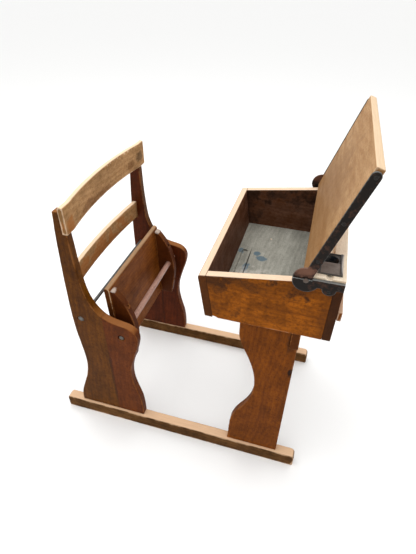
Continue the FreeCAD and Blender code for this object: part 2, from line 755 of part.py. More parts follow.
plate = body("inkwell_plate", x="Sizes.inkwell_x", y="Sizes.plate_far", z="Sizes.ledge_top")
face = sketch(plate, "plate_section", "XZ_Plane")
HALF_PLATE = S["plate_width"] / 2
SHEET = S["plate_sheet"]
SLOT = S["cover_sheet"] + 2 * S["cover_gap"]
LIP = 6.0
HIGH = SHEET + SLOT + S["cover_sheet"]
trace(
    face,
    (-HALF_PLATE, 0),
    (HALF_PLATE, 0),
    (HALF_PLATE, HIGH),
    (HALF_PLATE - LIP, HIGH),
    (HALF_PLATE - LIP, SHEET + SLOT),
    (HALF_PLATE - SHEET, SHEET + SLOT),
    (HALF_PLATE - SHEET, SHEET),
    (-HALF_PLATE + SHEET, SHEET),
    (-HALF_PLATE + SHEET, SHEET + SLOT),
    (-HALF_PLATE + LIP, SHEET + SLOT),
    (-HALF_PLATE + LIP, HIGH),
    (-HALF_PLATE, HIGH),
)
pad(plate, face, "Sizes.plate_far - Sizes.plate_near")
mouth = sketch(plate, "plate_mouth", "XY_Plane")
circle(mouth, "2 * Sizes.mouth_radius", 0.0, S["mouth_y"] - S["plate_far"])
cut(plate, mouth)
# folded stops at both ends of the slide
for label, where in (("far", ""), ("near", "Sizes.plate_far - Sizes.plate_near - Sizes.plate_sheet")):
    stop = sketch(plate, "plate_stop_" + label, "XZ_Plane", where)
    inner = HALF_PLATE - SHEET
    trace(
        stop,
        (-inner, SHEET),
        (inner, SHEET),
        (inner, SHEET + SLOT),
        (-inner, SHEET + SLOT),
    )
    pad(plate, stop, "Sizes.plate_sheet")

cover = body("inkwell_cover", x="Sizes.inkwell_x",
             y="Sizes.plate_near + Sizes.plate_sheet + Sizes.cover_gap",
             z="Sizes.ledge_top + Sizes.plate_sheet + Sizes.cover_gap")
face = sketch(cover, "cover_face", "XY_Plane")
rectangle(face, "Sizes.plate_width - 2 * Sizes.plate_sheet - 2 * Sizes.cover_gap",
          "Sizes.cover_length")
pad(cover, face, "Sizes.cover_sheet")

# ---------------------------------------------------------------- seat
# seat frame: origin on the pivot, x towards the front edge, z towards the sitting face
def seat_body(label, y):
    """A body in the seat's own frame, turned up on the pivot."""
    return body(label, x="Sizes.pivot_x", y=y, z="Sizes.pivot_z", turn=-S["seat_tip"])


seat = seat_body("seat_board", "Sizes.seat_width / 2")
face = sketch(seat, "seat_face", "XZ_Plane")
UNDER = S["seat_rise"]
TOP = UNDER + S["seat_board"]
NOSE = S["seat_board"] / 2
FRONT_X = S["seat_front"]
trace(
    face,
    (-S["seat_rear"], UNDER),
    (FRONT_X - NOSE, UNDER),
    ((FRONT_X, UNDER + NOSE), (FRONT_X - NOSE, TOP)),
    (-S["seat_rear"], TOP),
)
pad(seat, face, "Sizes.seat_width")
SCREW_SEAT = 14.0
SCREW_BITE = 12.0
CHEEK_SCREWS = (0.51 * S["seat_front"], -0.564 * S["seat_rear"])
CHEEK_Y = [side * (S["cheek_outer"] - S["cheek_thickness"] / 2) for name, side in SIDES]
pilots = sketch(seat, "seat_pilots", "XY_Plane", "Sizes.seat_rise")
for y in CHEEK_Y:
    for x in CHEEK_SCREWS:
        circle(pilots, "4.8", x, y - S["seat_width"] / 2)
cut(seat, pilots, "%g" % SCREW_BITE, back=True)

# the cheek's lower edge: shares of the seat's front and rear reach, with the height there
CHEEK = [(0.803 * FRONT_X, 16), (0.62 * FRONT_X, 1), (0.365 * FRONT_X, -12),
         (0.073 * FRONT_X, -20), (-0.263 * S["seat_rear"], -21), (-0.602 * S["seat_rear"], -14),
         (-0.865 * S["seat_rear"], -7), (-S["seat_rear"], -3)]
for name, side in SIDES:
    label = "seat_cheek_" + name
    cheek = seat_body(label, "Sizes.cheek_outer" if side > 0
                      else "Sizes.cheek_thickness - Sizes.cheek_outer")
    face = sketch(cheek, label + "_face", "XZ_Plane")
    trace(
        face,
        (-S["seat_rear"], UNDER),
        (FRONT_X - NOSE, UNDER),
        (FRONT_X - NOSE - 3, UNDER - 11),
        CHEEK,
    )
    pad(cheek, face, "Sizes.cheek_thickness")
    bore = sketch(cheek, label + "_bore", "XZ_Plane")
    circle(bore, "Sizes.sleeve_diameter")
    cut(cheek, bore)
    sinks = sketch(cheek, label + "_sinks", "XY_Plane", "Sizes.seat_rise - %g" % SCREW_SEAT)
    stems = sketch(cheek, label + "_stems", "XY_Plane", "Sizes.seat_rise")
    for x in CHEEK_SCREWS:
        circle(sinks, "9", x, -S["cheek_thickness"] / 2)
        circle(stems, "4.8", x, -S["cheek_thickness"] / 2)
    cut(cheek, sinks, "200")
    cut(cheek, stems, "%g" % SCREW_SEAT)

sleeve = seat_body("seat_pivot_sleeve", "Sizes.standard_inner - Sizes.end_play")
face = sketch(sleeve, "sleeve_face", "XZ_Plane")
circle(face, "Sizes.sleeve_diameter")
circle(face, "Sizes.pivot_bolt + 2 * Sizes.running_gap")
pad(sleeve, face, "2 * Sizes.standard_inner - 2 * Sizes.end_play")

cheek_screws = []
for y in CHEEK_Y:
    for x in CHEEK_SCREWS:
        head = V(x, y, UNDER - SCREW_SEAT)
        cheek_screws.append(domed(8.6, 4.8, SCREW_SEAT + SCREW_BITE, head, V(0, 0, -1)))
screws = fasteners("seat_cheek_screws", cheek_screws)
screws.Placement = FreeCAD.Placement(
    V(S["pivot_x"] - SHIFT, 0, S["pivot_z"]), ROT(V(0, 1, 0), -S["seat_tip"])
)

# ---------------------------------------------------------------- lid and its irons
# lid frame: origin on the hinge axis, x towards the free edge, z towards the underside
OPEN = 90.0 - S["lid_lean"]


def lid_body(label, y):
    """A body in the lid's own frame, standing open."""
    return body(label, x="Sizes.hinge_x", y=y, z="Sizes.hinge_z", turn=-OPEN)


lid = lid_body("lid_board", "Sizes.box_width / 2 + Sizes.lid_gap")
face = sketch(lid, "lid_face", "XZ_Plane")
REACH = S["lid_length"]
trace(
    face,
    (0, -HALF_LID),
    (REACH - 3, -HALF_LID),
    ((REACH - 0.9, -HALF_LID + 0.9), (REACH, -HALF_LID + 3)),
    (REACH, HALF_LID - 3),
    ((REACH - 0.9, HALF_LID - 0.9), (REACH - 3, HALF_LID)),
    (0, HALF_LID),
    ((-HALF_LID, 0), (0, -HALF_LID)),
)
pad(lid, face, "Sizes.box_width + 2 * Sizes.lid_gap")
ARM_SCREWS = (S["arm_reach"] - 1, 150.0, 52.0)
ARM_BITE = 18.0
for stem, where, back in (("left", "", True),
                          ("right", "Sizes.box_width + 2 * Sizes.lid_gap", False)):
    pilots = sketch(lid, "lid_pilots_" + stem, "XZ_Plane", where)
    for x in ARM_SCREWS:
        circle(pilots, "5", x, 0.0)
    cut(lid, pilots, "%g" % ARM_BITE, back=back)

# the arm: a straight bar with a round end and a fan-shaped hub towards the underside
ARM_END = S["arm_reach"]
DISC = S["disc_radius"]
FAN_LAST = math.radians(119.0)
FAN_FIRST = math.asin(HALF_ARM / DISC)
FAN_MID = (FAN_FIRST + FAN_LAST) / 2
HINGE_INNER = HALF_BOX + S["lid_gap"]
for name, side in SIDES:
    label = "lid_arm_" + name
    arm = lid_body(label, "Sizes.box_width / 2 + Sizes.lid_gap + Sizes.arm_thickness"
                   if side > 0 else "-Sizes.box_width / 2 - Sizes.lid_gap")
    face = sketch(arm, label + "_face", "XZ_Plane")
    trace(
        face,
        (0, -HALF_ARM),
        (ARM_END, -HALF_ARM),
        ((ARM_END + HALF_ARM, 0), (ARM_END, HALF_ARM)),
        (DISC * math.cos(FAN_FIRST), HALF_ARM),
        ((DISC * math.cos(FAN_MID), DISC * math.sin(FAN_MID)),
         (DISC * math.cos(FAN_LAST), DISC * math.sin(FAN_LAST))),
        (HALF_ARM * math.cos(FAN_LAST), HALF_ARM * math.sin(FAN_LAST)),
        ((HALF_ARM * math.cos(math.radians(195)), HALF_ARM * math.sin(math.radians(195))),
         (0, -HALF_ARM)),
    )
    pad(arm, face, "Sizes.arm_thickness")
    bore = sketch(arm, label + "_bore", "XZ_Plane")
    circle(bore, "Sizes.hinge_pin + 2 * Sizes.running_gap")
    cut(arm, bore)
    holes = sketch(arm, label + "_screw_holes", "XZ_Plane")
    for x in ARM_SCREWS:
        circle(holes, "5", x, 0.0)
    cut(arm, holes)

arm_screws = []
for side in (-1, 1):
    for x in ARM_SCREWS:
        centre = V(x, side * (HINGE_INNER + S["arm_thickness"]), 0)
        arm_screws.append(domed(8.6, 5.0, ARM_BITE + S["arm_thickness"], centre, V(0, side, 0)))
screws = fasteners("lid_arm_screws", arm_screws)
screws.Placement = FreeCAD.Placement(
    V(S["hinge_x"] - SHIFT, 0, S["hinge_z"]), ROT(V(0, 1, 0), -OPEN)
)

# fixed bracket: a half disc over the hub and a bar along the end of the ledge
BAR_START = (S["hinge_x"] + (max(HALF_ARM, HALF_LID) + S["stop_gap"]) / math.cos(LEAN)
             + S["bar_rise"] * math.tan(LEAN))
PLATE_OUT = S["bracket_outer"]
DISC_TOP = 2.5
for name, side in SIDES:
    label = "hinge_bracket_" + name
    bracket = body(label, y="Sizes.bracket_outer" if side > 0
                   else "Sizes.bracket_plate - Sizes.bracket_outer")
    face = sketch(bracket, label + "_plate", "XZ_Plane")
    reach = math.sqrt(DISC * DISC - DISC_TOP * DISC_TOP)
    drop = S["hinge_z"] - BAR_LOW
    side_reach = math.sqrt(DISC * DISC - drop * drop)
    trace(
        face,
        (S["hinge_x"] - reach, S["hinge_z"] + DISC_TOP),
        ((S["hinge_x"] - DISC * 0.5, S["hinge_z"] - DISC * math.sqrt(0.75)),
         (S["hinge_x"] + side_reach, BAR_LOW)),
        (LOBE_X - LOBE_R, BAR_LOW),
        ((LOBE_X, BAR_LOW - LOBE_R), (LOBE_X + LOBE_R, BAR_LOW)),
        (BAR_END, BAR_LOW),
        (BAR_END, BAR_HIGH),
        (BAR_START, BAR_HIGH),
        (BAR_START, S["hinge_z"] + DISC_TOP),
    )
    pad(bracket, face, "Sizes.bracket_plate")
    # the bar and its lobe are thickened inwards to bear on the box
    inward = sketch(bracket, label + "_bar", "XZ_Plane",
                    "" if side < 0 else "Sizes.bracket_plate")
    trace(
        inward,
        (BAR_START, BAR_LOW),
        (LOBE_X - LOBE_R, BAR_LOW),
        ((LOBE_X, BAR_LOW - LOBE_R), (LOBE_X + LOBE_R, BAR_LOW)),
        (BAR_END, BAR_LOW),
        (BAR_END, BAR_HIGH),
        (BAR_START, BAR_HIGH),
    )
    pad(bracket, inward, "Sizes.arm_thickness + 2 * Sizes.lid_gap", back=side < 0)
    bore = sketch(bracket, label + "_bore", "XZ_Plane")
    circle(bore, "Sizes.hinge_pin", S["hinge_x"], S["hinge_z"])
    cut(bracket, bore)
    holes = sketch(bracket, label + "_screw_holes", "XZ_Plane")
    for x, z in BRACKET_SCREWS:
        circle(holes, "5", x, z)
    cut(bracket, holes)

pins = []
bracket_screws = []
for side in (-1, 1):
    outward = V(0, side, 0)
    length = PLATE_OUT - HINGE_INNER - S["lid_gap"]
    centre = V(S["hinge_x"], side * PLATE_OUT, S["hinge_z"])
    pins.append(domed(12.0, S["hinge_pin"], length, centre, outward, 2.5, False))
    for x, z in BRACKET_SCREWS:
        centre = V(x, side * PLATE_OUT, z)
        length = PLATE_OUT - HALF_BOX + BRACKET_BITE
        bracket_screws.append(domed(9.0, 5.0, length, centre, outward))
fasteners("hinge_pins", pins)
fasteners("hinge_bracket_screws", bracket_screws)

# ---------------------------------------------------------------- checks and export
doc.recompute()
for item in doc.Objects:
    if "Invalid" in item.State or "Error" in item.State:
        raise RuntimeError("bad feature: " + item.Name + " " + str(item.State))
for made in PARTS:
    shape = made.Shape
    if shape.isNull() or not shape.isValid():
        raise RuntimeError("bad shape: " + made.Label)
for made in PARTS:
    made.Shape.exportStep("parts/" + made.Label + ".step")
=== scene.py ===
import json
import math
from collections import namedtuple

import bmesh
import bpy
from bpy.props import FloatProperty, FloatVectorProperty, PointerProperty
from mathutils import Euler, Matrix, Vector, noise
from mathutils.kdtree import KDTree


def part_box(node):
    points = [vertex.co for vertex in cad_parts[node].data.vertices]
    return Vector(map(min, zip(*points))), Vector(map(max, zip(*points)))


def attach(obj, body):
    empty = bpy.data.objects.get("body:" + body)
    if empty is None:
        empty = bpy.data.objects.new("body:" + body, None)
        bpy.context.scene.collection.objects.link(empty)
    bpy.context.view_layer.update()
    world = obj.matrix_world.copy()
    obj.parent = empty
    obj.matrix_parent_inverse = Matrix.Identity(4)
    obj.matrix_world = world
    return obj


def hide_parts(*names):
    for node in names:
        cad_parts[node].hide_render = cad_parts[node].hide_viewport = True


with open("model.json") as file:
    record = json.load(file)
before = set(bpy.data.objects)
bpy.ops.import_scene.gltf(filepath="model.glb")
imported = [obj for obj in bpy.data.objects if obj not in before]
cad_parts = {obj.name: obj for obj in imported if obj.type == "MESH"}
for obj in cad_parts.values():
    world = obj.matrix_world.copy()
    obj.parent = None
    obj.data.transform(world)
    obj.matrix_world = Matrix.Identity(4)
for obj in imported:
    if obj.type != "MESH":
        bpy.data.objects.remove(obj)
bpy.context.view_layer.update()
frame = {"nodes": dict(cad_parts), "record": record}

bl_info = {
    "name": "School Desk",
    "version": (1, 0, 0),
    "blender": (4, 5, 0),
    "location": "View3D > Sidebar > School Desk",
    "description": "Worn woods, rusted irons and inkwell of a one-piece school desk",
    "category": "Object",
}

MM = 0.001


def linear(hex_colour):
    """An sRGB hex colour as linear red, green and blue."""
    parts = [int(hex_colour[i:i + 2], 16) / 255 for i in (1, 3, 5)]
    return tuple(p / 12.92 if p <= 0.04045 else ((p + 0.055) / 1.055) ** 2.4 for p in parts)


def paint(name, hex_colour, description):
    """A colour that a user can change."""
    return FloatVectorProperty(name=name, description=description, subtype="COLOR", size=3,
                               min=0.0, max=1.0, default=linear(hex_colour))


# ---------------------------------------------------------------- settings
class SchoolDeskColours(bpy.types.PropertyGroup):
    """Colours of the woods and metals."""

    # the worn colours are also laid on what faces up as a painted highlight
    runner_dark: paint("Runner grain", "#402812", "Dark grain of the floor runners")
    runner_light: paint("Runner wood", "#78522C", "Wood of the floor runners")
    runner_worn_and_lit: paint("Runner worn and lit", "#F0C8A2", "Scuffed tops of the floor runners, with a painted highlight")
    post_dark: paint("Post grain", "#412003", "Dark grain of the seat's rear boards")
    post_light: paint("Post wood", "#724104", "Wood of the seat's rear boards")
    lobe_dark: paint("Lobe grain", "#4A1F06", "Dark grain of the seat's front boards")
    lobe_light: paint("Lobe wood", "#72380A", "Wood of the seat's front boards")
    standard_worn_and_lit: paint("Standard worn and lit", "#A0683A", "Worn edges of the standards and painted highlight on their tops")
    deep_dark: paint("Inner grain", "#3A1506", "Dark grain of the standards' inner faces")
    deep_light: paint("Inner wood", "#662A0A", "Wood of the standards' inner faces")
    grime: paint("Grime", "#1C0F08", "Grime round bolts and in corners")
    chalk: paint("Bare end grain", "#C6C0B8", "Pale bare end grain")
    pillar_dark: paint("Desk standard grain", "#522602", "Dark grain of the desk standards")
    pillar_light: paint("Desk standard wood", "#864603", "Wood of the desk standards")
    rail_dark: paint("Rail grain", "#8A6238", "Dark grain of the back rails")
    rail_light: paint("Rail wood", "#C89E70", "Wood of the back rails, bare of varnish")
    rail_worn_and_lit: paint("Rail worn and lit", "#F2D6B6", "Rubbed tops of the back rails, with a painted highlight")
    box_dark: paint("Box grain", "#6E3804", "Dark grain of the book box")
    box_light: paint("Box wood", "#B4640E", "Wood of the book box")
    box_worn_and_lit: paint("Box worn and lit", "#E4C8AC", "Bare top edges of the book box, with a painted highlight on its tops")
    inside_dark: paint("Inside grain", "#4A3226", "Dark grain inside the book box")
    inside_light: paint("Inside wood", "#7E5844", "Wood inside the book box")
    floor_dark: paint("Box floor grain", "#7C7A70", "Grey grain of the book box's floor")
    floor_light: paint("Box floor wood", "#A8A69B", "Bare grey wood of the book box's floor")
    ink: paint("Ink", "#3E5A6A", "Spilt ink")
    # the ledge colours are brightened as painted light
    lit_ledge_dark: paint("Lit ledge grain", "#F0D2AE", "Grain of the scrubbed ledge, brightened as painted light")
    lit_ledge_light: paint("Lit ledge wood", "#FFF0DA", "Scrubbed wood of the ledge, brightened as painted light")
    seat_dark: paint("Seat grain", "#54290A", "Dark grain of the seat")
    seat_light: paint("Seat wood", "#92521A", "Wood of the seat")
    seat_worn_and_lit: paint("Seat worn and lit", "#F0D2A8", "Rubbed edges of the seat and painted highlight on what faces up")
    sleeve_dark: paint("Sleeve grain", "#8A6052", "Grain of the turning sleeve")
    sleeve_light: paint("Sleeve wood", "#BE9886", "Polished wood of the turning sleeve")
    lid_dark: paint("Lid grain", "#94683C", "Grain of the lid's underside")
    lid_light: paint("Lid wood", "#C6A074", "Wood of the lid's underside")
    lid_worn_and_lit: paint("Lid worn and lit", "#DCC2A2", "Bare edges of the lid and painted highlight on what faces up")
    iron: paint("Iron", "#1A1512", "Blackened hinge irons")
    rust: paint("Rust", "#745040", "Rust on the hinge irons")
    bright_iron: paint("Rubbed and highlighted iron", "#8C8E8C", "Rubbed edges of the irons and painted highlight on what faces up")
    steel: paint("Steel", "#5A4E46", "Dull steel of nuts, screws and inkwell plate")
    porcelain: paint("Porcelain", "#D8D4CA", "Glaze of the ink pot")


class SchoolDeskSizes(bpy.types.PropertyGroup):
    """Sizes of the wear and the marks."""

    board_rounding: FloatProperty(name="Board rounding", description="Rounding of board edges",
                                  default=2.2 * MM, unit="LENGTH")
    soft_rounding: FloatProperty(name="Handled rounding", default=3.6 * MM, unit="LENGTH",
                                 description="Rounding of the edges that hands and clothes rub")
    iron_rounding: FloatProperty(name="Iron rounding", description="Rounding of the irons",
                                 default=0.7 * MM, unit="LENGTH")
    wear_depth: FloatProperty(name="Wear depth", default=0.8 * MM, unit="LENGTH",
                              description="How deep the dents along an edge go")
    slice: FloatProperty(name="Slice", description="Spacing of the mesh's cross cuts",
                         default=8.0 * MM, unit="LENGTH")


class SchoolDeskStage(bpy.types.PropertyGroup):
    """Floor, light and camera."""

    floor_colour: paint("Floor", "#F8F8F7", "Plain pale floor")
    key_power: FloatProperty(name="Overhead light", description="Power of the overhead light",
                             default=60.0, unit="POWER")
    key_place: FloatVectorProperty(name="Overhead light's place", subtype="TRANSLATION",
                                   description="Where the overhead light hangs",
                                   default=(-0.3, 0.2, 3.2))
    key_size: FloatProperty(name="Overhead light's size", description="Side of the square light",
                            default=3.0, unit="LENGTH")
    sky_strength: FloatProperty(name="Sky", description="Strength of the even white light",
                                default=1.0)
    camera_azimuth: FloatProperty(name="Azimuth", description="Camera's turn round the desk",
                                  default=math.radians(15.7), subtype="ANGLE")
    camera_elevation: FloatProperty(name="Elevation", description="Camera's height angle",
                                    default=math.radians(38.1), subtype="ANGLE")
    camera_roll: FloatProperty(name="Roll", description="Camera's roll",
                               default=math.radians(0.85), subtype="ANGLE")
    camera_place: FloatVectorProperty(name="Camera", description="Where the camera stands",
                                      default=(0.301, -0.946, 1.283), subtype="TRANSLATION")
    camera_lens: FloatProperty(name="Lens", description="Focal length", unit="CAMERA",
                               default=26.545)


# ---------------------------------------------------------------- mesh work
AXES = (Vector((1, 0, 0)), Vector((0, 1, 0)), Vector((0, 0, 1)))
EDGE = "edge_mm"                  # attribute: how far a point is from a worn edge
FAR = 60.0                        # the largest such distance that is stored, in millimetres
SHARP = math.radians(28)          # faces that meet at more than this have an edge between them
SMOOTH = math.radians(32)         # faces that meet at less than this are shaded as one
MERGE = 0.01 * MM                 # points closer than this are one
FLAT = math.radians(0.1)          # faces that meet at less than this become one
EDGE_STEP = 3 * MM                # spacing of the points that stand for an edge
DENTS = 42.0                      # dents along an edge, about 24 mm apart
SWELLS = 14.0                     # slow swells of a planed face, about 70 mm apart
STEEP = 0.7                       # an edge that rises more than this isn't level


def edit_alone(piece):
    """Selects one object by itself and opens it in edit mode with everything in it selected."""
    bpy.ops.object.select_all(action="DESELECT")
    piece.select_set(True)
    bpy.context.view_layer.objects.active = piece
    bpy.ops.object.mode_set(mode="EDIT")
    bpy.ops.mesh.select_mode(type="EDGE")
    bpy.ops.mesh.select_all(action="SELECT")


def close_edit():
    """Leaves edit mode."""
    bpy.ops.object.mode_set(mode="OBJECT")


def merged_copy(node):
    """A new object with a merged, dissolved copy of a CAD node's mesh."""
    piece = bpy.data.objects.new(node + "_worn", frame["nodes"][node].data.copy())
    bpy.context.scene.collection.objects.link(piece)
    edit_alone(piece)
    bpy.ops.mesh.customdata_custom_splitnormals_clear()
    bpy.ops.mesh.remove_doubles(threshold=MERGE)
    bpy.ops.mesh.dissolve_limited(angle_limit=FLAT)
    close_edit()
    return piece


def sharp_edges(piece, keep):
    """Points along the sharp edges that keep(middle, direction) accepts."""
    shape = bmesh.new()
    shape.from_mesh(piece.data)
    points = []
    for edge in shape.edges:
        if len(edge.link_faces) != 2 or edge.calc_face_angle(0.0) < SHARP:
            continue
        first, last = edge.verts[0].co, edge.verts[1].co
        if not keep((first + last) / 2, (last - first).normalized()):
            continue
        steps = max(1, int((last - first).length / EDGE_STEP))
        points += [first.lerp(last, step / steps) for step in range(steps + 1)]
    shape.free()
    return points


def round_edges(piece, width, keep, segments=3):
    """Bevels the sharp edges that keep(middle, direction) accepts."""
    edit_alone(piece)
    bpy.ops.mesh.select_all(action="DESELECT")
    shape = bmesh.from_edit_mesh(piece.data)
    for edge in shape.edges:
        if len(edge.link_faces) == 2 and edge.calc_face_angle(0.0) >= SHARP:
            first, last = edge.verts[0].co, edge.verts[1].co
            edge.select = keep((first + last) / 2, (last - first).normalized())
    bmesh.update_edit_mesh(piece.data)
    bpy.ops.mesh.bevel(offset=width, segments=segments, affect="EDGES", clamp_overlap=False)
    close_edit()


def slice_up(piece, axes, spacing):
    """Cuts the mesh across at even steps, so that it can carry dents and wear."""
    edit_alone(piece)
    points = [v.co for v in bmesh.from_edit_mesh(piece.data).verts]
    for axis in axes:
        reach = [axis.dot(p) for p in points]
        start, length = min(reach), max(reach) - min(reach)
        count = int(length / spacing)
        for step in range(1, count + 1):
            where = start + length * step / (count + 1)
            bpy.ops.mesh.select_all(action="SELECT")
            bpy.ops.mesh.bisect(plane_co=axis * where, plane_no=axis)
    close_edit()


def wear(piece, edges, depth, width=6 * MM, swell=0.25 * MM):
    """Dents the edges, lets the faces wander a little and stores each point's edge distance.

    depth is how deep the dents go, width how far from an edge they reach and swell how far a
    face wanders.
    """
    tree = KDTree(len(edges))
    for index, point in enumerate(edges):
        tree.insert(point, index)
    tree.balance()
    mesh = piece.data
    store = mesh.attributes.new(EDGE, "FLOAT", "POINT")
    moves = []
    for vertex in mesh.vertices:
        distance = tree.find(vertex.co)[2] if edges else FAR * MM
        store.data[vertex.index].value = min(FAR, distance / MM)
        near = max(0.0, 1.0 - distance / width)
        rough = 0.5 + 0.5 * noise.fractal(vertex.co * DENTS, 0.8, 2.1, 3)
        slow = 0.5 + 0.5 * noise.noise(vertex.co * SWELLS)
        inward = depth * near * min(1.0, max(0.0, rough)) + swell * (1 - near) * slow
        moves.append(vertex.normal * -inward)
    for vertex, move in zip(mesh.vertices, moves):
        vertex.co += move
    mesh.update()


def finish_piece(piece, material, body, slot, *nodes):
    """Smooth shading, material, body, and hiding of the CAD nodes that the piece stands for; slot
    is not used.
    """
    bpy.ops.object.select_all(action="DESELECT")
    piece.select_set(True)
    bpy.context.view_layer.objects.active = piece
    bpy.ops.object.shade_smooth_by_angle(angle=SMOOTH)
    piece.data.materials.clear()
    piece.data.materials.append(material)
    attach(piece, body)
    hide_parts(*nodes)


def everywhere(middle, direction):
    """Accepts every edge."""
    return True


def level(middle, direction):
    """Accepts the edges that lie level or nearly so."""
    return abs(direction.z) < STEEP


def middle_of(node):
    """The middle of a CAD node's box."""
    lo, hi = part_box(node)
    return (lo + hi) / 2


def slot_of(node):
    """The record's material slot for a CAD node."""
    for row in frame["record"]["subparts"]:
        if row["node"] == node:
            return row["material_slot"]
    raise ValueError("no slot for " + node)


def body_of(node):
    """The body that carries a CAD node."""
    for body, nodes in frame["record"]["behaviour"]["bodies"].items():
        if node in nodes:
            return body
    raise ValueError("no body for " + node)


def chip(piece, centre, reach, turn):
    """Splits a splinter out of a board; centre and reach are in millimetres."""
    bpy.ops.object.select_all(action="DESELECT")
    bpy.ops.mesh.primitive_ico_sphere_add(subdivisions=3, radius=1.0)
    cutter = bpy.context.active_object
    for vertex in cutter.data.vertices:
        vertex.co *= 1.0 + 0.35 * noise.noise(vertex.co * 2.3 + Vector(centre))
    bpy.ops.transform.resize(value=Vector(reach) * MM)
    cutter.rotation_euler = turn
    cutter.location = Vector(centre) * MM
    cut = piece.modifiers.new("chip", "BOOLEAN")
    cut.operation = "DIFFERENCE"
    cut.object = cutter
    bpy.context.view_layer.objects.active = piece
    bpy.ops.object.modifier_apply(modifier=cut.name)
    bpy.data.objects.remove(cutter)


def worn_board(node, material, width, axes=AXES, keep=everywhere, rubbed=None, depth=1.0,
               chips=()):
    """A CAD board with its edges rounded, chipped and dented by use.

    keep picks the edges that are rounded and rubbed those that wear pale, keep's by default.
    """
    sizes = bpy.context.scene.school_desk_sizes
    piece = merged_copy(node)
    edges = sharp_edges(piece, rubbed or keep)
    if width:
        round_edges(piece, width, keep)
    slice_up(piece, axes, sizes.slice)
    for centre, reach, turn in chips:
        chip(piece, centre, reach, turn)
    wear(piece, edges, sizes.wear_depth * depth)
    finish_piece(piece, material, body_of(node), slot_of(node), node)
    return piece


# ---------------------------------------------------------------- materials
# centre and half_lengths are in millimetres; ragged is how far the outline strays
Stain = namedtuple("Stain", "centre half_lengths tint strength ragged")


def make(tree, kind, inputs=None, **settings):
    """Adds a node with its settings; inputs are values or the sockets that feed it."""
    made = tree.nodes.new("ShaderNode" + kind)
    for name, value in settings.items():
        setattr(made, name, value)
    for name, value in (inputs or {}).items():
        if isinstance(value, bpy.types.NodeSocket):
            tree.links.new(value, made.inputs[name])
        else:
            made.inputs[name].default_value = value
    return made


def new_tree(name):
    """An empty material and its node tree."""
    material = bpy.data.materials.new(name)
    material.use_nodes = True
    material.node_tree.nodes.clear()
    return material, material.node_tree


def rgba(colour):
    """A linear colour with full alpha."""
    return (colour[0], colour[1], colour[2], 1.0)


def stained(tree, colour, place, noise_value, stains):
    """Lays stains over a colour; each fades out towards its outline, which the noise frays."""
    for stain in stains:
        offset = make(tree, "Mapping", {"Vector": place, "Location": Vector(stain.centre) * MM,
                                        "Scale": Vector(stain.half_lengths) * MM},
                      vector_type="TEXTURE").outputs[0]
        far = make(tree, "VectorMath", {0: offset}, operation="LENGTH").outputs["Value"]
        stray = make(tree, "MapRange", {"Value": noise_value, "From Min": 0.3, "From Max": 0.7,
                                        "To Min": -stain.ragged,
                                        "To Max": stain.ragged}).outputs[0]
        far = make(tree, "Math", {0: far, 1: stray}, operation="ADD").outputs[0]
        spot = make(tree, "MapRange", {"Value": far, "From Min": 0.55, "From Max": 1.05,
                                       "To Min": stain.strength, "To Max": 0.0},
                    interpolation_type="SMOOTHSTEP").outputs[0]
        colour = make(tree, "Mix", {0: spot, 6: colour, 7: rgba(stain.tint)},
                      data_type="RGBA").outputs[2]
    return colour


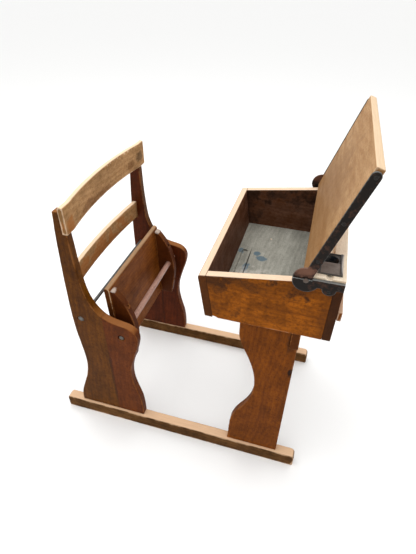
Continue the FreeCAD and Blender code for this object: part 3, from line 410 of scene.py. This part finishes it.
def wood(name, dark, light, worn, grain=(1, 0, 0), turn=(0, 0, 0), top=0.0, rim=4.0,
         rim_wear=0.5, mottle=0.5, gloss=0.45, coat=0.03, figure=0.1, inward=None, inner=None,
         stains=()):
    """Planed board: growth rings, fibres and mottled varnish, rubbed bare on edges and tops, with
    a painted highlight on the tops.

    grain is the grain's direction and turn brings it onto X. top bares what faces up and paints a
    highlight on it, and rim_wear bares what is within rim millimetres of a worn edge. mottle is
    how patchy the varnish is, figure how strong the rings are, and inner a (dark, light) pair for
    the faces that look along inward.
    """
    material, tree = new_tree(name)
    where = make(tree, "TexCoord").outputs
    place = make(tree, "Mapping", {"Vector": where["Object"], "Rotation": turn}).outputs[0]
    # the grain wanders sideways by a few centimetres along the board
    wander = make(tree, "TexNoise", {"Vector": place, "Scale": 5.0, "Detail": 2.0})
    bent = make(tree, "VectorMath", {0: wander.outputs["Color"], 1: (0.0, 0.03, 0.03), 2: place},
                operation="MULTIPLY_ADD").outputs[0]
    # broad bands of colour about 25 mm wide, drawn out along the grain
    band_place = make(tree, "Mapping", {"Vector": bent, "Scale": (0.1, 1.0, 1.0)}).outputs[0]
    band = make(tree, "TexNoise", {"Vector": band_place, "Scale": 40.0,
                                   "Detail": 3.0}).outputs["Fac"]
    # growth rings about 7 mm apart, cut at a slant so that they show as long arches
    rings = make(tree, "TexWave", {"Vector": band_place, "Scale": 45.0, "Distortion": 2.0,
                                   "Detail": 3.0, "Detail Scale": 0.3},
                 wave_type="BANDS", bands_direction="DIAGONAL").outputs["Fac"]
    # fibres about 1.5 mm wide and pores that are thinner still
    thread = make(tree, "Mapping", {"Vector": bent, "Scale": (0.03, 1.0, 1.0)}).outputs[0]
    fibre = make(tree, "TexNoise", {"Vector": thread, "Scale": 420.0, "Detail": 4.0,
                                    "Roughness": 0.6}).outputs["Fac"]
    dash = make(tree, "Mapping", {"Vector": bent, "Scale": (0.09, 1.0, 1.0)}).outputs[0]
    pore = make(tree, "TexNoise", {"Vector": dash, "Scale": 1100.0,
                                   "Detail": 1.0}).outputs["Fac"]
    pores = make(tree, "MapRange", {"Value": pore, "From Min": 0.56, "From Max": 0.68,
                                    "To Max": 0.45}).outputs[0]
    blotch = make(tree, "TexNoise", {"Vector": place, "Scale": 24.0, "Detail": 5.0,
                                     "Roughness": 0.65}).outputs["Fac"]
    freckle = make(tree, "TexNoise", {"Vector": place, "Scale": 130.0, "Detail": 3.0,
                                      "Roughness": 0.6}).outputs["Fac"]
    band = make(tree, "Math", {0: band, 1: 0.7}, operation="MULTIPLY").outputs[0]
    tone = make(tree, "Math", {0: rings, 1: figure, 2: band}, operation="MULTIPLY_ADD").outputs[0]
    tone = make(tree, "Math", {0: fibre, 1: 0.55, 2: tone}, operation="MULTIPLY_ADD").outputs[0]
    tone = make(tree, "MapRange", {"Value": tone, "From Min": 0.32 + 0.5 * figure,
                                   "From Max": 0.93 + 0.5 * figure}).outputs[0]
    colour = make(tree, "Mix", {0: tone, 6: rgba(dark), 7: rgba(light)},
                  data_type="RGBA").outputs[2]
    if inward is not None:
        facing = make(tree, "VectorMath", {0: where["Normal"], 1: inward},
                      operation="DOT_PRODUCT").outputs["Value"]
        facing = make(tree, "MapRange", {"Value": facing, "From Min": 0.5,
                                         "From Max": 0.8}).outputs[0]
        inside = make(tree, "Mix", {0: tone, 6: rgba(inner[0]), 7: rgba(inner[1])},
                      data_type="RGBA").outputs[2]
        colour = make(tree, "Mix", {0: facing, 6: colour, 7: inside},
                      data_type="RGBA").outputs[2]
    # old varnish darkens in blotches 40 mm across and in freckles of 8 mm; pores hold dirt
    dull = make(tree, "MapRange", {"Value": blotch, "From Min": 0.4, "From Max": 0.7,
                                   "To Max": mottle}).outputs[0]
    speck = make(tree, "MapRange", {"Value": freckle, "From Min": 0.5, "From Max": 0.68,
                                    "To Max": mottle * 0.7}).outputs[0]
    shade = rgba([c * 0.4 for c in dark])
    for amount in (dull, speck, pores):
        colour = make(tree, "Mix", {0: amount, 6: colour, 7: shade},
                      data_type="RGBA").outputs[2]
    # end grain drinks stain and goes dark
    along = make(tree, "VectorMath", {0: where["Normal"], 1: grain},
                 operation="DOT_PRODUCT").outputs["Value"]
    along = make(tree, "Math", {0: along}, operation="ABSOLUTE").outputs[0]
    end = make(tree, "MapRange", {"Value": along, "From Min": 0.75, "From Max": 0.95,
                                  "To Max": 0.7}).outputs[0]
    colour = make(tree, "Mix", {0: end, 6: colour, 7: rgba([c * 0.6 for c in dark])},
                  data_type="RGBA").outputs[2]
    # stains and dirt lie under the wear
    colour = stained(tree, colour, where["Object"], blotch, stains)
    # rubbing bares the wood on the edges, raggedly; what faces up is bared too and carries a
    # painted highlight
    edge = make(tree, "Attribute", attribute_name=EDGE).outputs["Fac"]
    ragged = make(tree, "MapRange", {"Value": blotch, "From Min": 0.3, "From Max": 0.7,
                                     "To Min": -rim * 0.7, "To Max": rim * 0.7}).outputs[0]
    edge = make(tree, "Math", {0: edge, 1: ragged}, operation="ADD").outputs[0]
    bare = make(tree, "MapRange", {"Value": edge, "From Min": 0.1 * rim, "From Max": rim,
                                   "To Min": rim_wear, "To Max": 0.0},
                interpolation_type="SMOOTHSTEP").outputs[0]
    # what faces up gets the pale colour, partly from wear and partly as a painted highlight
    if top:
        height = make(tree, "SeparateXYZ", {0: where["Normal"]}).outputs["Z"]
        upward = make(tree, "MapRange", {"Value": height, "From Min": 0.45, "From Max": 0.85,
                                         "To Max": top}).outputs[0]
        bare = make(tree, "Math", {0: bare, 1: upward}, operation="MAXIMUM").outputs[0]
    worn_and_lit_tone = make(tree, "Mix", {0: fibre, 6: rgba([c * 0.7 for c in worn]), 7: rgba(
        [min(1.0, c * 1.1) for c in worn])}, data_type="RGBA").outputs[2]
    colour = make(tree, "Mix", {0: bare, 6: colour, 7: worn_and_lit_tone}, data_type="RGBA").outputs[2]
    # varnish keeps some gloss and bare wood has none; fibres, freckles and pores give the relief
    rough = make(tree, "MapRange", {"Value": bare, "To Min": gloss, "To Max": 0.75}).outputs[0]
    rough = make(tree, "Math", {0: blotch, 1: 0.25, 2: rough}, operation="MULTIPLY_ADD").outputs[0]
    relief = make(tree, "Math", {0: pores, 1: -1.0, 2: fibre}, operation="MULTIPLY_ADD").outputs[0]
    relief = make(tree, "Math", {0: freckle, 1: 0.6, 2: relief},
                  operation="MULTIPLY_ADD").outputs[0]
    bump = make(tree, "Bump", {"Height": relief, "Strength": 0.4, "Distance": 0.5 * MM})
    shader = make(tree, "BsdfPrincipled", {"Base Color": colour, "Roughness": rough,
                                           "Normal": bump.outputs[0], "IOR": 1.5,
                                           "Specular IOR Level": 0.05, "Coat Weight": coat,
                                           "Coat Roughness": 0.2})
    make(tree, "OutputMaterial", {"Surface": shader.outputs[0]})
    return material


def old_iron(name, base, rust, bright, rusting=0.4, gloss=0.45, rubbing=0.5, top=0.0,
             stains=()):
    """Forged iron, blackened and rusting: rust in blotches, grey where it is rubbed and, as a
    painted highlight, on what faces up.

    rusting is how strong the rust is, rubbing how bright the edges and top how strong the painted
    highlight on what faces up.
    """
    material, tree = new_tree(name)
    where = make(tree, "TexCoord").outputs
    # rust blotches about 20 mm across and grit about 2 mm across, the finest that shows
    patch = make(tree, "TexNoise", {"Vector": where["Object"], "Scale": 45.0, "Detail": 6.0,
                                    "Roughness": 0.7}).outputs["Fac"]
    grit = make(tree, "TexNoise", {"Vector": where["Object"], "Scale": 420.0,
                                   "Detail": 3.0}).outputs["Fac"]
    rusty = make(tree, "MapRange", {"Value": patch, "From Min": 0.5, "From Max": 0.68,
                                    "To Max": rusting}).outputs[0]
    colour = make(tree, "Mix", {0: rusty, 6: rgba(base), 7: rgba(rust)},
                  data_type="RGBA").outputs[2]
    # rubbed within about 2 mm of an edge
    edge = make(tree, "Attribute", attribute_name=EDGE).outputs["Fac"]
    edge = make(tree, "Math", {0: patch, 1: 3.0, 2: edge}, operation="MULTIPLY_ADD").outputs[0]
    rubbed = make(tree, "MapRange", {"Value": edge, "From Min": 1.2, "From Max": 3.2,
                                     "To Min": rubbing, "To Max": 0.0}).outputs[0]
    # what faces up takes the rubbed colour as a painted highlight
    height = make(tree, "SeparateXYZ", {0: where["Normal"]}).outputs["Z"]
    upward = make(tree, "MapRange", {"Value": height, "From Min": 0.5, "From Max": 0.9,
                                     "To Max": top}).outputs[0]
    rubbed = make(tree, "Math", {0: rubbed, 1: upward}, operation="MAXIMUM").outputs[0]
    colour = make(tree, "Mix", {0: rubbed, 6: colour, 7: rgba(bright)},
                  data_type="RGBA").outputs[2]
    colour = stained(tree, colour, where["Object"], patch, stains)
    rough = make(tree, "MapRange", {"Value": patch, "From Min": 0.3, "From Max": 0.7,
                                    "To Min": gloss, "To Max": gloss + 0.3}).outputs[0]
    bump = make(tree, "Bump", {"Height": grit, "Strength": 0.4, "Distance": 0.3 * MM})
    shader = make(tree, "BsdfPrincipled", {"Base Color": colour, "Roughness": rough,
                                           "Metallic": 0.75, "Normal": bump.outputs[0]})
    make(tree, "OutputMaterial", {"Surface": shader.outputs[0]})
    return material


def glazed(name, base, ink, stains):
    """Glazed porcelain with dried ink inside: fired smooth, so its highlights are hard."""
    material, tree = new_tree(name)
    where = make(tree, "TexCoord").outputs
    patch = make(tree, "TexNoise", {"Vector": where["Object"], "Scale": 60.0,
                                    "Detail": 4.0}).outputs["Fac"]
    inky = make(tree, "MapRange", {"Value": patch, "From Min": 0.4, "From Max": 0.6}).outputs[0]
    colour = make(tree, "Mix", {0: inky, 6: rgba(base), 7: rgba(ink)},
                  data_type="RGBA").outputs[2]
    colour = stained(tree, colour, where["Object"], patch, stains)
    shader = make(tree, "BsdfPrincipled", {"Base Color": colour, "Roughness": 0.18, "IOR": 1.52})
    make(tree, "OutputMaterial", {"Surface": shader.outputs[0]})
    return material


def give(node_name, material):
    """A CAD node keeps its shape and gets a better material."""
    for holder in frame["nodes"][node_name].material_slots:
        holder.material = material


# ---------------------------------------------------------------- pieces
SENSOR_WIDTH = 36.0                   # the camera's, in millimetres
UP = (0.0, -math.pi / 2, 0.0)         # turns Z onto X
ACROSS = (0.0, 0.0, -math.pi / 2)     # turns Y onto X
SIDES = ("right", "left")
OUTSIDE = 400                         # half length of a stain that goes right through, in mm


def tilted(angle):
    """Axes of a board turned about Y by an angle."""
    turn = Euler((0.0, angle, 0.0)).to_matrix()
    return tuple(turn @ axis for axis in AXES)


class SchoolDeskRunners(bpy.types.Operator):
    """Floor runners: oiled softwood, scuffed bare on top, with a painted highlight there"""

    bl_idname = "school_desk.runners"
    bl_label = "Floor runners"

    def execute(self, context):
        colours = context.scene.school_desk_colours
        sizes = context.scene.school_desk_sizes
        # sawn pine, oiled and scuffed by shoes: dull, pale on top from wear and a painted
        # highlight, dark along its sides
        material = wood("Oiled pine runner", colours.runner_dark, colours.runner_light,
                        colours.runner_worn_and_lit, top=0.85, rim=6.0, gloss=0.6, coat=0.0)
        for side in SIDES:
            worn_board("floor_runner_" + side, material, sizes.soft_rounding, depth=1.4)
        return {"FINISHED"}


class SchoolDeskSeatStandards(bpy.types.Operator):
    """Seat standards: two boards glued edge to edge, stained and varnished"""

    bl_idname = "school_desk.seat_standards"
    bl_label = "Seat standards"

    def execute(self, context):
        colours = context.scene.school_desk_colours
        sizes = context.scene.school_desk_sizes
        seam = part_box("seat_standard_front_right")[0].x
        bolts = [middle_of("seat_pivot_nuts"), middle_of("seat_stop_nuts")]

        def outline(middle, direction):
            off_seam = abs(middle.x - seam) > 0.5 * MM
            return off_seam and all(
                math.hypot(middle.x - bolt.x, middle.z - bolt.z) > 14 * MM for bolt in bolts)

        # grime fills the seam, and the upper posts are made darker
        seam_dirt = Stain((seam / MM, 0, 180), (7, OUTSIDE, 240), colours.grime, 0.45, 0.5)
        upper_post_dark = Stain((-325, 0, 720), (70, OUTSIDE, 170), colours.grime, 0.35, 0.5)
        # planed oak, stained brown and shellacked: satin, worn pale along the edges, with a
        # painted highlight on what faces up; the front board is a redder piece than the post
        for side, turned in zip(SIDES, (1, -1)):
            common = {"grain": (0, 0, 1), "turn": UP, "top": 0.7, "rim": 3.0, "rim_wear": 0.45,
                      "inward": (0, turned, 0), "inner": (colours.deep_dark, colours.deep_light),
                      "stains": [seam_dirt, upper_post_dark], "gloss": 0.4, "coat": 0.04}
            post = wood("Varnished oak post " + side, colours.post_dark, colours.post_light,
                        colours.standard_worn_and_lit, **common)
            lobe = wood("Varnished oak lobe " + side, colours.lobe_dark, colours.lobe_light,
                        colours.standard_worn_and_lit, **common)
            worn_board("seat_standard_post_" + side, post, sizes.board_rounding, keep=outline)
            worn_board("seat_standard_front_" + side, lobe, sizes.board_rounding, keep=outline)
        return {"FINISHED"}


class SchoolDeskDeskStandards(bpy.types.Operator):
    """Desk standards and the rail across them"""

    bl_idname = "school_desk.desk_standards"
    bl_label = "Desk standards"

    def execute(self, context):
        colours = context.scene.school_desk_colours
        sizes = context.scene.school_desk_sizes
        face = -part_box("desk_standard_right")[0].y / MM
        # nail holes, painted shade under the box, and darkening in the splintered edge of the near
        # standard
        marks = [Stain((x, y, z), (2.2, 5, 2.2), colours.grime, 0.9, 0.1)
                 for x, z in ((287, 402), (303, 309), (287, 244), (292, 255), (233, 142))
                 for y in (-face, face)]
        # painted shade under the box on the near standard
        marks.append(Stain((312, -face, 545), (14, 12, 46), colours.grime, 0.55, 0.5))
        marks.append(Stain((325, -face, 428), (9, 12, 15), colours.grime, 0.9, 0.5))
        splinters = {"right": [((331, -228, 426), (6, 9, 15), (0.2, 0.1, 0.3)),
                               ((333, -226, 444), (5, 7, 11), (0.0, 0.4, 0.1))]}
        # planed oak, stained orange brown and shellacked: satin, worn pale along the edges, with a
        # painted highlight on what faces up
        for side, turned in zip(SIDES, (1, -1)):
            pillar = wood("Varnished oak pillar " + side, colours.pillar_dark,
                          colours.pillar_light, colours.standard_worn_and_lit, grain=(0, 0, 1), turn=UP,
                          top=0.6, rim=3.0, stains=marks, inward=(0, turned, 0),
                          inner=(colours.deep_dark, colours.pillar_light), coat=0.04)
            worn_board("desk_standard_" + side, pillar, sizes.board_rounding,
                       chips=splinters.get(side, ()))
        # the cross rail as the standards, with the same painted highlight on what faces up
        across = wood("Varnished oak cross rail", colours.pillar_dark, colours.pillar_light,
                      colours.standard_worn_and_lit, grain=(0, 1, 0), turn=ACROSS, top=0.6)
        worn_board("desk_cross_rail", across, sizes.board_rounding)
        return {"FINISHED"}


class SchoolDeskBackRails(bpy.types.Operator):
    """Bowed back rails, their varnish rubbed off"""

    bl_idname = "school_desk.back_rails"
    bl_label = "Back rails"

    def execute(self, context):
        colours = context.scene.school_desk_colours
        sizes = context.scene.school_desk_sizes
        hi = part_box("back_rail_top")[1] / MM
        # dark patches where old varnish clings: four on the top rail, one on the low rail
        soot = [Stain((hi.x, 196, hi.z - 38), (60, 20, 24), colours.grime, 0.6, 0.8),
                Stain((hi.x, 158, hi.z - 52), (60, 24, 16), colours.seat_dark, 0.5, 0.8),
                Stain((hi.x, -60, hi.z - 66), (60, 110, 16), colours.seat_dark, 0.5, 0.8),
                Stain((hi.x, -214, hi.z - 60), (60, 22, 34), colours.seat_light, 0.6, 0.6),
                Stain((-270, -60, 560), (60, 280, 60), colours.seat_light, 0.6, 0.9)]
        # steam-bent oak, its varnish rubbed away by backs: matt, pale, freckled, with a painted
        # highlight on top
        material = wood("Rubbed oak rail", colours.rail_dark, colours.rail_light,
                        colours.rail_worn_and_lit, grain=(0, 1, 0), turn=ACROSS, top=0.9,
                        mottle=0.5, gloss=0.55, coat=0.0, stains=soot)
        worn_board("back_rail_top", material, 0.0)
        worn_board("back_rail_low", material, sizes.board_rounding)
        return {"FINISHED"}


class SchoolDeskBox(bpy.types.Operator):
    """Book box: sides, front, back, floor, ledge and batten"""

    bl_idname = "school_desk.box"
    bl_label = "Book box"

    def execute(self, context):
        colours = context.scene.school_desk_colours
        sizes = context.scene.school_desk_sizes
        inner = (colours.inside_dark, colours.inside_light)
        width = sizes.board_rounding * 0.7
        outer = (colours.box_dark, colours.box_light, colours.box_worn_and_lit)
        lo, hi = [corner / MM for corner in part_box("box_side_right")]
        middle = (lo.z + hi.z) / 2
        # the sides are darker at the front, under the rim and at the back by the iron
        sides = (
            Stain((lo.x + 12, 0, middle + 20), (75, OUTSIDE, 110), colours.grime, 0.55, 0.9),
            Stain((hi.x - 75, 0, hi.z - 22), (110, OUTSIDE, 30), colours.grime, 0.7, 0.5),
            Stain((190, 0, 705), (150, OUTSIDE, 34), colours.grime, 0.6, 0.6),
            Stain((hi.x - 6, 0, 650), (22, OUTSIDE, 110), colours.grime, 0.45, 0.4),
        )
        # the end grain of the front and back boards has drunk the stain
        ends = [Stain((x, y, 650), (60, 9, 150), colours.grime, strength, 0.4)
                for x, strength in ((lo.x, 0.55), (hi.x + 10, 0.75)) for y in (lo.y, -lo.y)]
        boards = (
            ("box_side_right", (1, 0, 0), (0, 0, 0), (0, 1, 0)),
            ("box_side_left", (1, 0, 0), (0, 0, 0), (0, -1, 0)),
            ("box_front_board", (0, 1, 0), ACROSS, (1, 0, 0)),
            ("box_back_board", (0, 1, 0), ACROSS, (-1, 0, 0)),
        )
        notches = {"box_side_right": [((116, lo.y, lo.z + 1), (12, 9, 5), (0.0, 0.1, 0.2))]}
        # planed oak, stained orange and shellacked: satin, mottled, bare along the top, with a
        # painted highlight on what faces up
        for name, grain, turn, inward in boards:
            material = wood("Varnished oak " + name.replace("_", " "), *outer, grain=grain,
                            turn=turn, inward=inward, inner=inner, top=1.0, mottle=0.75,
                            rim=2.5, rim_wear=0.2, coat=0.04,
                            stains=sides if "side" in name else ends)
            worn_board(name, material, width, rubbed=level, chips=notches.get(name, ()))
        floor_lo, floor_hi = [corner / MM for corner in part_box("box_bottom_board")]
        # ink drops, a pale patch of painted light on the near part, a nail head and a painted
        # shadow along one wall of the pen trough
        marks = [Stain((x, y, floor_hi.z), (half_x, half_y, 20), colours.ink, 0.75, 0.6)
                 for x, y, half_x, half_y in ((170, 50, 11, 14), (187, 27, 16, 15),
                                              (122, 54, 9, 14), (152, -21, 11, 30))]
        # painted light on the near part of the floor, which the near side shades
        marks.append(Stain((160, -150, floor_hi.z), (120, 130, 30), colours.chalk, 0.6, 0.4))
        marks.append(Stain((198, 140, floor_hi.z), (3, 3, 9), colours.box_worn_and_lit, 0.9, 0.2))
        # painted shadow along the pen trough's wall
        marks.append(Stain((floor_lo.x + 38, 0, floor_hi.z), (2.5, 90, 9), colours.grime, 0.8,
                           0.1))
        # planed deal, never varnished and gone grey: matt
        bare = wood("Bare grey box floor", colours.floor_dark, colours.floor_light,
                    colours.floor_light, grain=(0, 1, 0), turn=ACROSS, gloss=0.7, coat=0.0,
                    rim_wear=0.2, mottle=0.25, stains=marks)
        worn_board("box_bottom_board", bare, width * 0.6, depth=0.3)
        # oak scrubbed clean of varnish: matt and cream, its colour brightened further as painted
        # light where the lid shades the ledge
        scrubbed = wood("Scrubbed ledge with painted light", colours.lit_ledge_dark, colours.lit_ledge_light,
                        colours.lit_ledge_light, grain=(0, 1, 0), turn=ACROSS, top=0.4, gloss=0.65,
                        coat=0.0, mottle=0.12)
        worn_board("box_ledge", scrubbed, width)
        # as the box's sides
        batten = wood("Varnished oak batten", *outer, grain=(0, 1, 0), turn=ACROSS, top=0.6)
        worn_board("box_back_batten", batten, width)
        return {"FINISHED"}


SEAT_TURN = -math.radians(92.3)
LID_TURN = -math.radians(71.5)


class SchoolDeskSeat(bpy.types.Operator):
    """Tip-up seat: board, cheeks and the sleeve it turns on"""

    bl_idname = "school_desk.seat"
    bl_label = "Tip-up seat"

    def execute(self, context):
        colours = context.scene.school_desk_colours
        sizes = context.scene.school_desk_sizes
        axes = tilted(SEAT_TURN)
        tones = (colours.seat_dark, colours.seat_light, colours.seat_worn_and_lit)
        # planed oak, stained and shellacked, polished by clothes: satin, pale along the edges,
        # with a painted highlight on what faces up
        board = wood("Rubbed oak seat", *tones, grain=(0, 1, 0), turn=ACROSS, top=0.3, rim=3.0,
                     coat=0.04)
        worn_board("seat_board", board, sizes.soft_rounding, axes=axes)
        for side in SIDES:
            lo, hi = [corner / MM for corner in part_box("seat_cheek_" + side)]
            pale = Stain((lo.x + 8, (lo.y + hi.y) / 2, hi.z), (15, 30, 8), colours.chalk, 0.8, 0.5)
            # as the seat, darker, with bare end grain at the tip and a painted highlight on what
            # faces up
            cheek = wood("Varnished oak cheek " + side, colours.lobe_dark, colours.seat_dark,
                         colours.standard_worn_and_lit, grain=tuple(axes[0]), turn=UP, top=0.3, rim=3.0,
                         stains=(pale,), coat=0.04)
            worn_board("seat_cheek_" + side, cheek, sizes.board_rounding, axes=axes)
        # turned beech, polished by turning: glossy and even
        sleeve = wood("Polished beech sleeve", colours.sleeve_dark, colours.sleeve_light,
                      colours.sleeve_light, grain=(0, 1, 0), turn=ACROSS, gloss=0.25, coat=0.5,
                      rim_wear=0.2, mottle=0.3)
        worn_board("seat_pivot_sleeve", sleeve, 1.2 * MM, axes=AXES[1:2], depth=0.3)
        return {"FINISHED"}


class SchoolDeskLid(bpy.types.Operator):
    """Lid: a plain board, pale underneath and bare along its edges"""

    bl_idname = "school_desk.lid"
    bl_label = "Lid"

    def execute(self, context):
        colours = context.scene.school_desk_colours
        sizes = context.scene.school_desk_sizes
        axes = tilted(LID_TURN)
        lo, hi = [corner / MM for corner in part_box("lid_board")]
        # the underside is darker towards the hinge
        warm = Stain((lo.x, 0, lo.z), (150, OUTSIDE, 260), colours.runner_light, 0.6, 0.3)
        # planed oak, thinly varnished underneath and shellacked on the writing face, with a
        # painted highlight on what faces up
        material = wood("Worn oak lid", colours.lid_dark, colours.lid_light, colours.lid_worn_and_lit,
                        grain=(0, 1, 0), turn=ACROSS, top=0.9, rim=4.0, mottle=0.2, gloss=0.5,
                        inward=tuple(-axes[2]), inner=(colours.box_dark, colours.box_light),
                        stains=(warm,))
        worn_board("lid_board", material, sizes.board_rounding, axes=axes)
        return {"FINISHED"}


class SchoolDeskIrons(bpy.types.Operator):
    """Hinge arms and brackets"""

    bl_idname = "school_desk.irons"
    bl_label = "Hinge irons"

    def execute(self, context):
        colours = context.scene.school_desk_colours
        sizes = context.scene.school_desk_sizes
        pin = middle_of("hinge_pins") / MM
        # the hubs have rusted on top; the bars are blackened and rubbed grey along the edges, with
        # a painted highlight on what faces up
        hubs = [Stain((pin.x - 8, y, pin.z + 20), (32, 12, 19), colours.rust, 0.85, 0.4)
                for y in (-240, 240)]
        material = old_iron("Blackened forged iron", colours.iron, colours.rust,
                            colours.bright_iron, top=0.8, stains=hubs)
        for side in SIDES:
            for stem, axes in (("lid_arm_", tilted(LID_TURN)), ("hinge_bracket_", AXES)):
                name = stem + side
                piece = merged_copy(name)
                edges = sharp_edges(piece, everywhere)
                round_edges(piece, sizes.iron_rounding, everywhere, segments=2)
                slice_up(piece, axes, sizes.slice * 0.6)
                wear(piece, edges, 0.25 * MM, width=3 * MM, swell=0.0)
                finish_piece(piece, material, body_of(name), slot_of(name), name)
        return {"FINISHED"}


class SchoolDeskBolts(bpy.types.Operator):
    """Stop rod, pivot bolt, nuts and screws"""

    bl_idname = "school_desk.bolts"
    bl_label = "Bolts and screws"

    def execute(self, context):
        colours = context.scene.school_desk_colours
        # drawn and turned iron gone dull: brown grey, hardly any shine
        rod = old_iron("Dull drawn iron rod", colours.iron, colours.rust, colours.bright_iron)
        nut = old_iron("Grey iron nut", colours.steel, colours.rust, colours.bright_iron,
                       rusting=0.5, rubbing=0.05)
        dark = old_iron("Blackened screw", colours.iron, colours.rust, colours.bright_iron,
                        rubbing=0.06)
        for name in ("seat_stop_rod", "seat_pivot_bolt"):
            give(name, rod)
        for name in ("seat_stop_nuts", "seat_pivot_nuts", "hinge_pins"):
            give(name, nut)
        for name in ("seat_cheek_screws", "lid_arm_screws", "hinge_bracket_screws"):
            give(name, dark)
        return {"FINISHED"}


class SchoolDeskInkwell(bpy.types.Operator):
    """Inkwell: porcelain pot, folded plate and sliding cover"""

    bl_idname = "school_desk.inkwell"
    bl_label = "Inkwell"

    def execute(self, context):
        colours = context.scene.school_desk_colours
        lo, hi = [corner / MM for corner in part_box("inkwell_plate")]
        mid_y = (lo.y + hi.y) / 2
        # folded sheet, its nickel worn dull, with pale guides along its long sides
        guides = [Stain((x, mid_y, hi.z), (4, 44, 9), colours.chalk, 0.95, 0.1)
                  for x in (lo.x, hi.x)]
        plate = old_iron("Dull nickelled plate", colours.iron, colours.rust,
                         colours.bright_iron, rusting=0.2, gloss=0.3, rubbing=0.35,
                         stains=guides)
        cover = old_iron("Dull nickelled cover", colours.steel, colours.rust, colours.chalk,
                         rusting=0.1, gloss=0.35, rubbing=0.3)
        give("inkwell_plate", plate)
        give("inkwell_cover", cover)
        mouth = middle_of("inkwell_pot") / MM
        # dried ink blackens the mouth
        dregs = Stain((mouth.x, mouth.y, mouth.z + 4), (24, 24, 70), colours.grime, 1.0, 0.05)
        give("inkwell_pot", glazed("Glazed porcelain", colours.porcelain, colours.ink, [dregs]))
        return {"FINISHED"}


class SchoolDeskStudio(bpy.types.Operator):
    """Plain pale floor, soft light and camera"""

    bl_idname = "school_desk.studio"
    bl_label = "Studio"

    def execute(self, context):
        scene = context.scene
        stage = scene.school_desk_stage
        bpy.ops.object.select_all(action="DESELECT")
        bpy.ops.mesh.primitive_plane_add(size=200.0, location=(0.0, 0.0, 0.0))
        floor = context.active_object
        floor.name = "studio_floor"
        # matt painted floor: no gloss and no pattern
        material, tree = new_tree("Matt pale floor")
        shader = make(tree, "BsdfPrincipled", {"Base Color": rgba(stage.floor_colour),
                                               "Roughness": 0.9})
        make(tree, "OutputMaterial", {"Surface": shader.outputs[0]})
        floor.data.materials.append(material)

        world = bpy.data.worlds.new("Even white light")
        world.use_nodes = True
        world.node_tree.nodes["Background"].inputs["Color"].default_value = (1, 1, 1, 1)
        world.node_tree.nodes["Background"].inputs["Strength"].default_value = stage.sky_strength
        scene.world = world
        scene.view_settings.view_transform = "Standard"

        bpy.ops.object.light_add(type="AREA", location=stage.key_place)
        lamp = context.active_object
        lamp.name = "overhead_softbox"
        lamp.data.shape = "RECTANGLE"
        lamp.data.size = stage.key_size
        lamp.data.size_y = stage.key_size
        lamp.data.energy = stage.key_power

        bpy.ops.object.camera_add(location=stage.camera_place)
        camera = context.active_object
        azimuth, elevation = stage.camera_azimuth, stage.camera_elevation
        roll = stage.camera_roll
        back = Vector((math.sin(azimuth) * math.cos(elevation),
                       -math.cos(azimuth) * math.cos(elevation), math.sin(elevation)))
        flat = Vector((math.cos(azimuth), math.sin(azimuth), 0.0))
        upright = back.cross(flat)
        right = flat * math.cos(roll) + upright * math.sin(roll)
        up = upright * math.cos(roll) - flat * math.sin(roll)
        camera.rotation_mode = "QUATERNION"
        camera.rotation_quaternion = Matrix((right, up, back)).transposed().to_quaternion()
        camera.data.sensor_width = SENSOR_WIDTH
        camera.data.lens = stage.camera_lens
        scene.camera = camera
        return {"FINISHED"}


# ---------------------------------------------------------------- panel and registration
OPERATORS = (SchoolDeskRunners, SchoolDeskSeatStandards, SchoolDeskDeskStandards,
             SchoolDeskBackRails, SchoolDeskBox, SchoolDeskSeat, SchoolDeskLid, SchoolDeskIrons,
             SchoolDeskBolts, SchoolDeskInkwell, SchoolDeskStudio)


class SchoolDeskPanel(bpy.types.Panel):
    """The desk's groups of pieces, in the order they are made"""

    bl_idname = "VIEW3D_PT_school_desk"
    bl_label = "School Desk"
    bl_space_type = "VIEW_3D"
    bl_region_type = "UI"
    bl_category = "School Desk"

    def draw(self, context):
        for operator in OPERATORS:
            self.layout.operator(operator.bl_idname)
        for group in (context.scene.school_desk_colours, context.scene.school_desk_sizes,
                      context.scene.school_desk_stage):
            box = self.layout.box()
            for name in group.bl_rna.properties.keys():
                if name not in ("rna_type", "name"):
                    box.prop(group, name)


CLASSES = (SchoolDeskColours, SchoolDeskSizes, SchoolDeskStage) + OPERATORS + (SchoolDeskPanel,)


def register():
    for item in CLASSES:
        bpy.utils.register_class(item)
    bpy.types.Scene.school_desk_colours = PointerProperty(type=SchoolDeskColours)
    bpy.types.Scene.school_desk_sizes = PointerProperty(type=SchoolDeskSizes)
    bpy.types.Scene.school_desk_stage = PointerProperty(type=SchoolDeskStage)


def unregister():
    del bpy.types.Scene.school_desk_colours
    del bpy.types.Scene.school_desk_sizes
    del bpy.types.Scene.school_desk_stage
    for item in reversed(CLASSES):
        bpy.utils.unregister_class(item)


def main():
    """Makes every piece and the stage."""
    register()
    for operator in OPERATORS:
        group, name = operator.bl_idname.split(".")
        getattr(getattr(bpy.ops, group), name)()


if __name__ == "__main__":
    main()
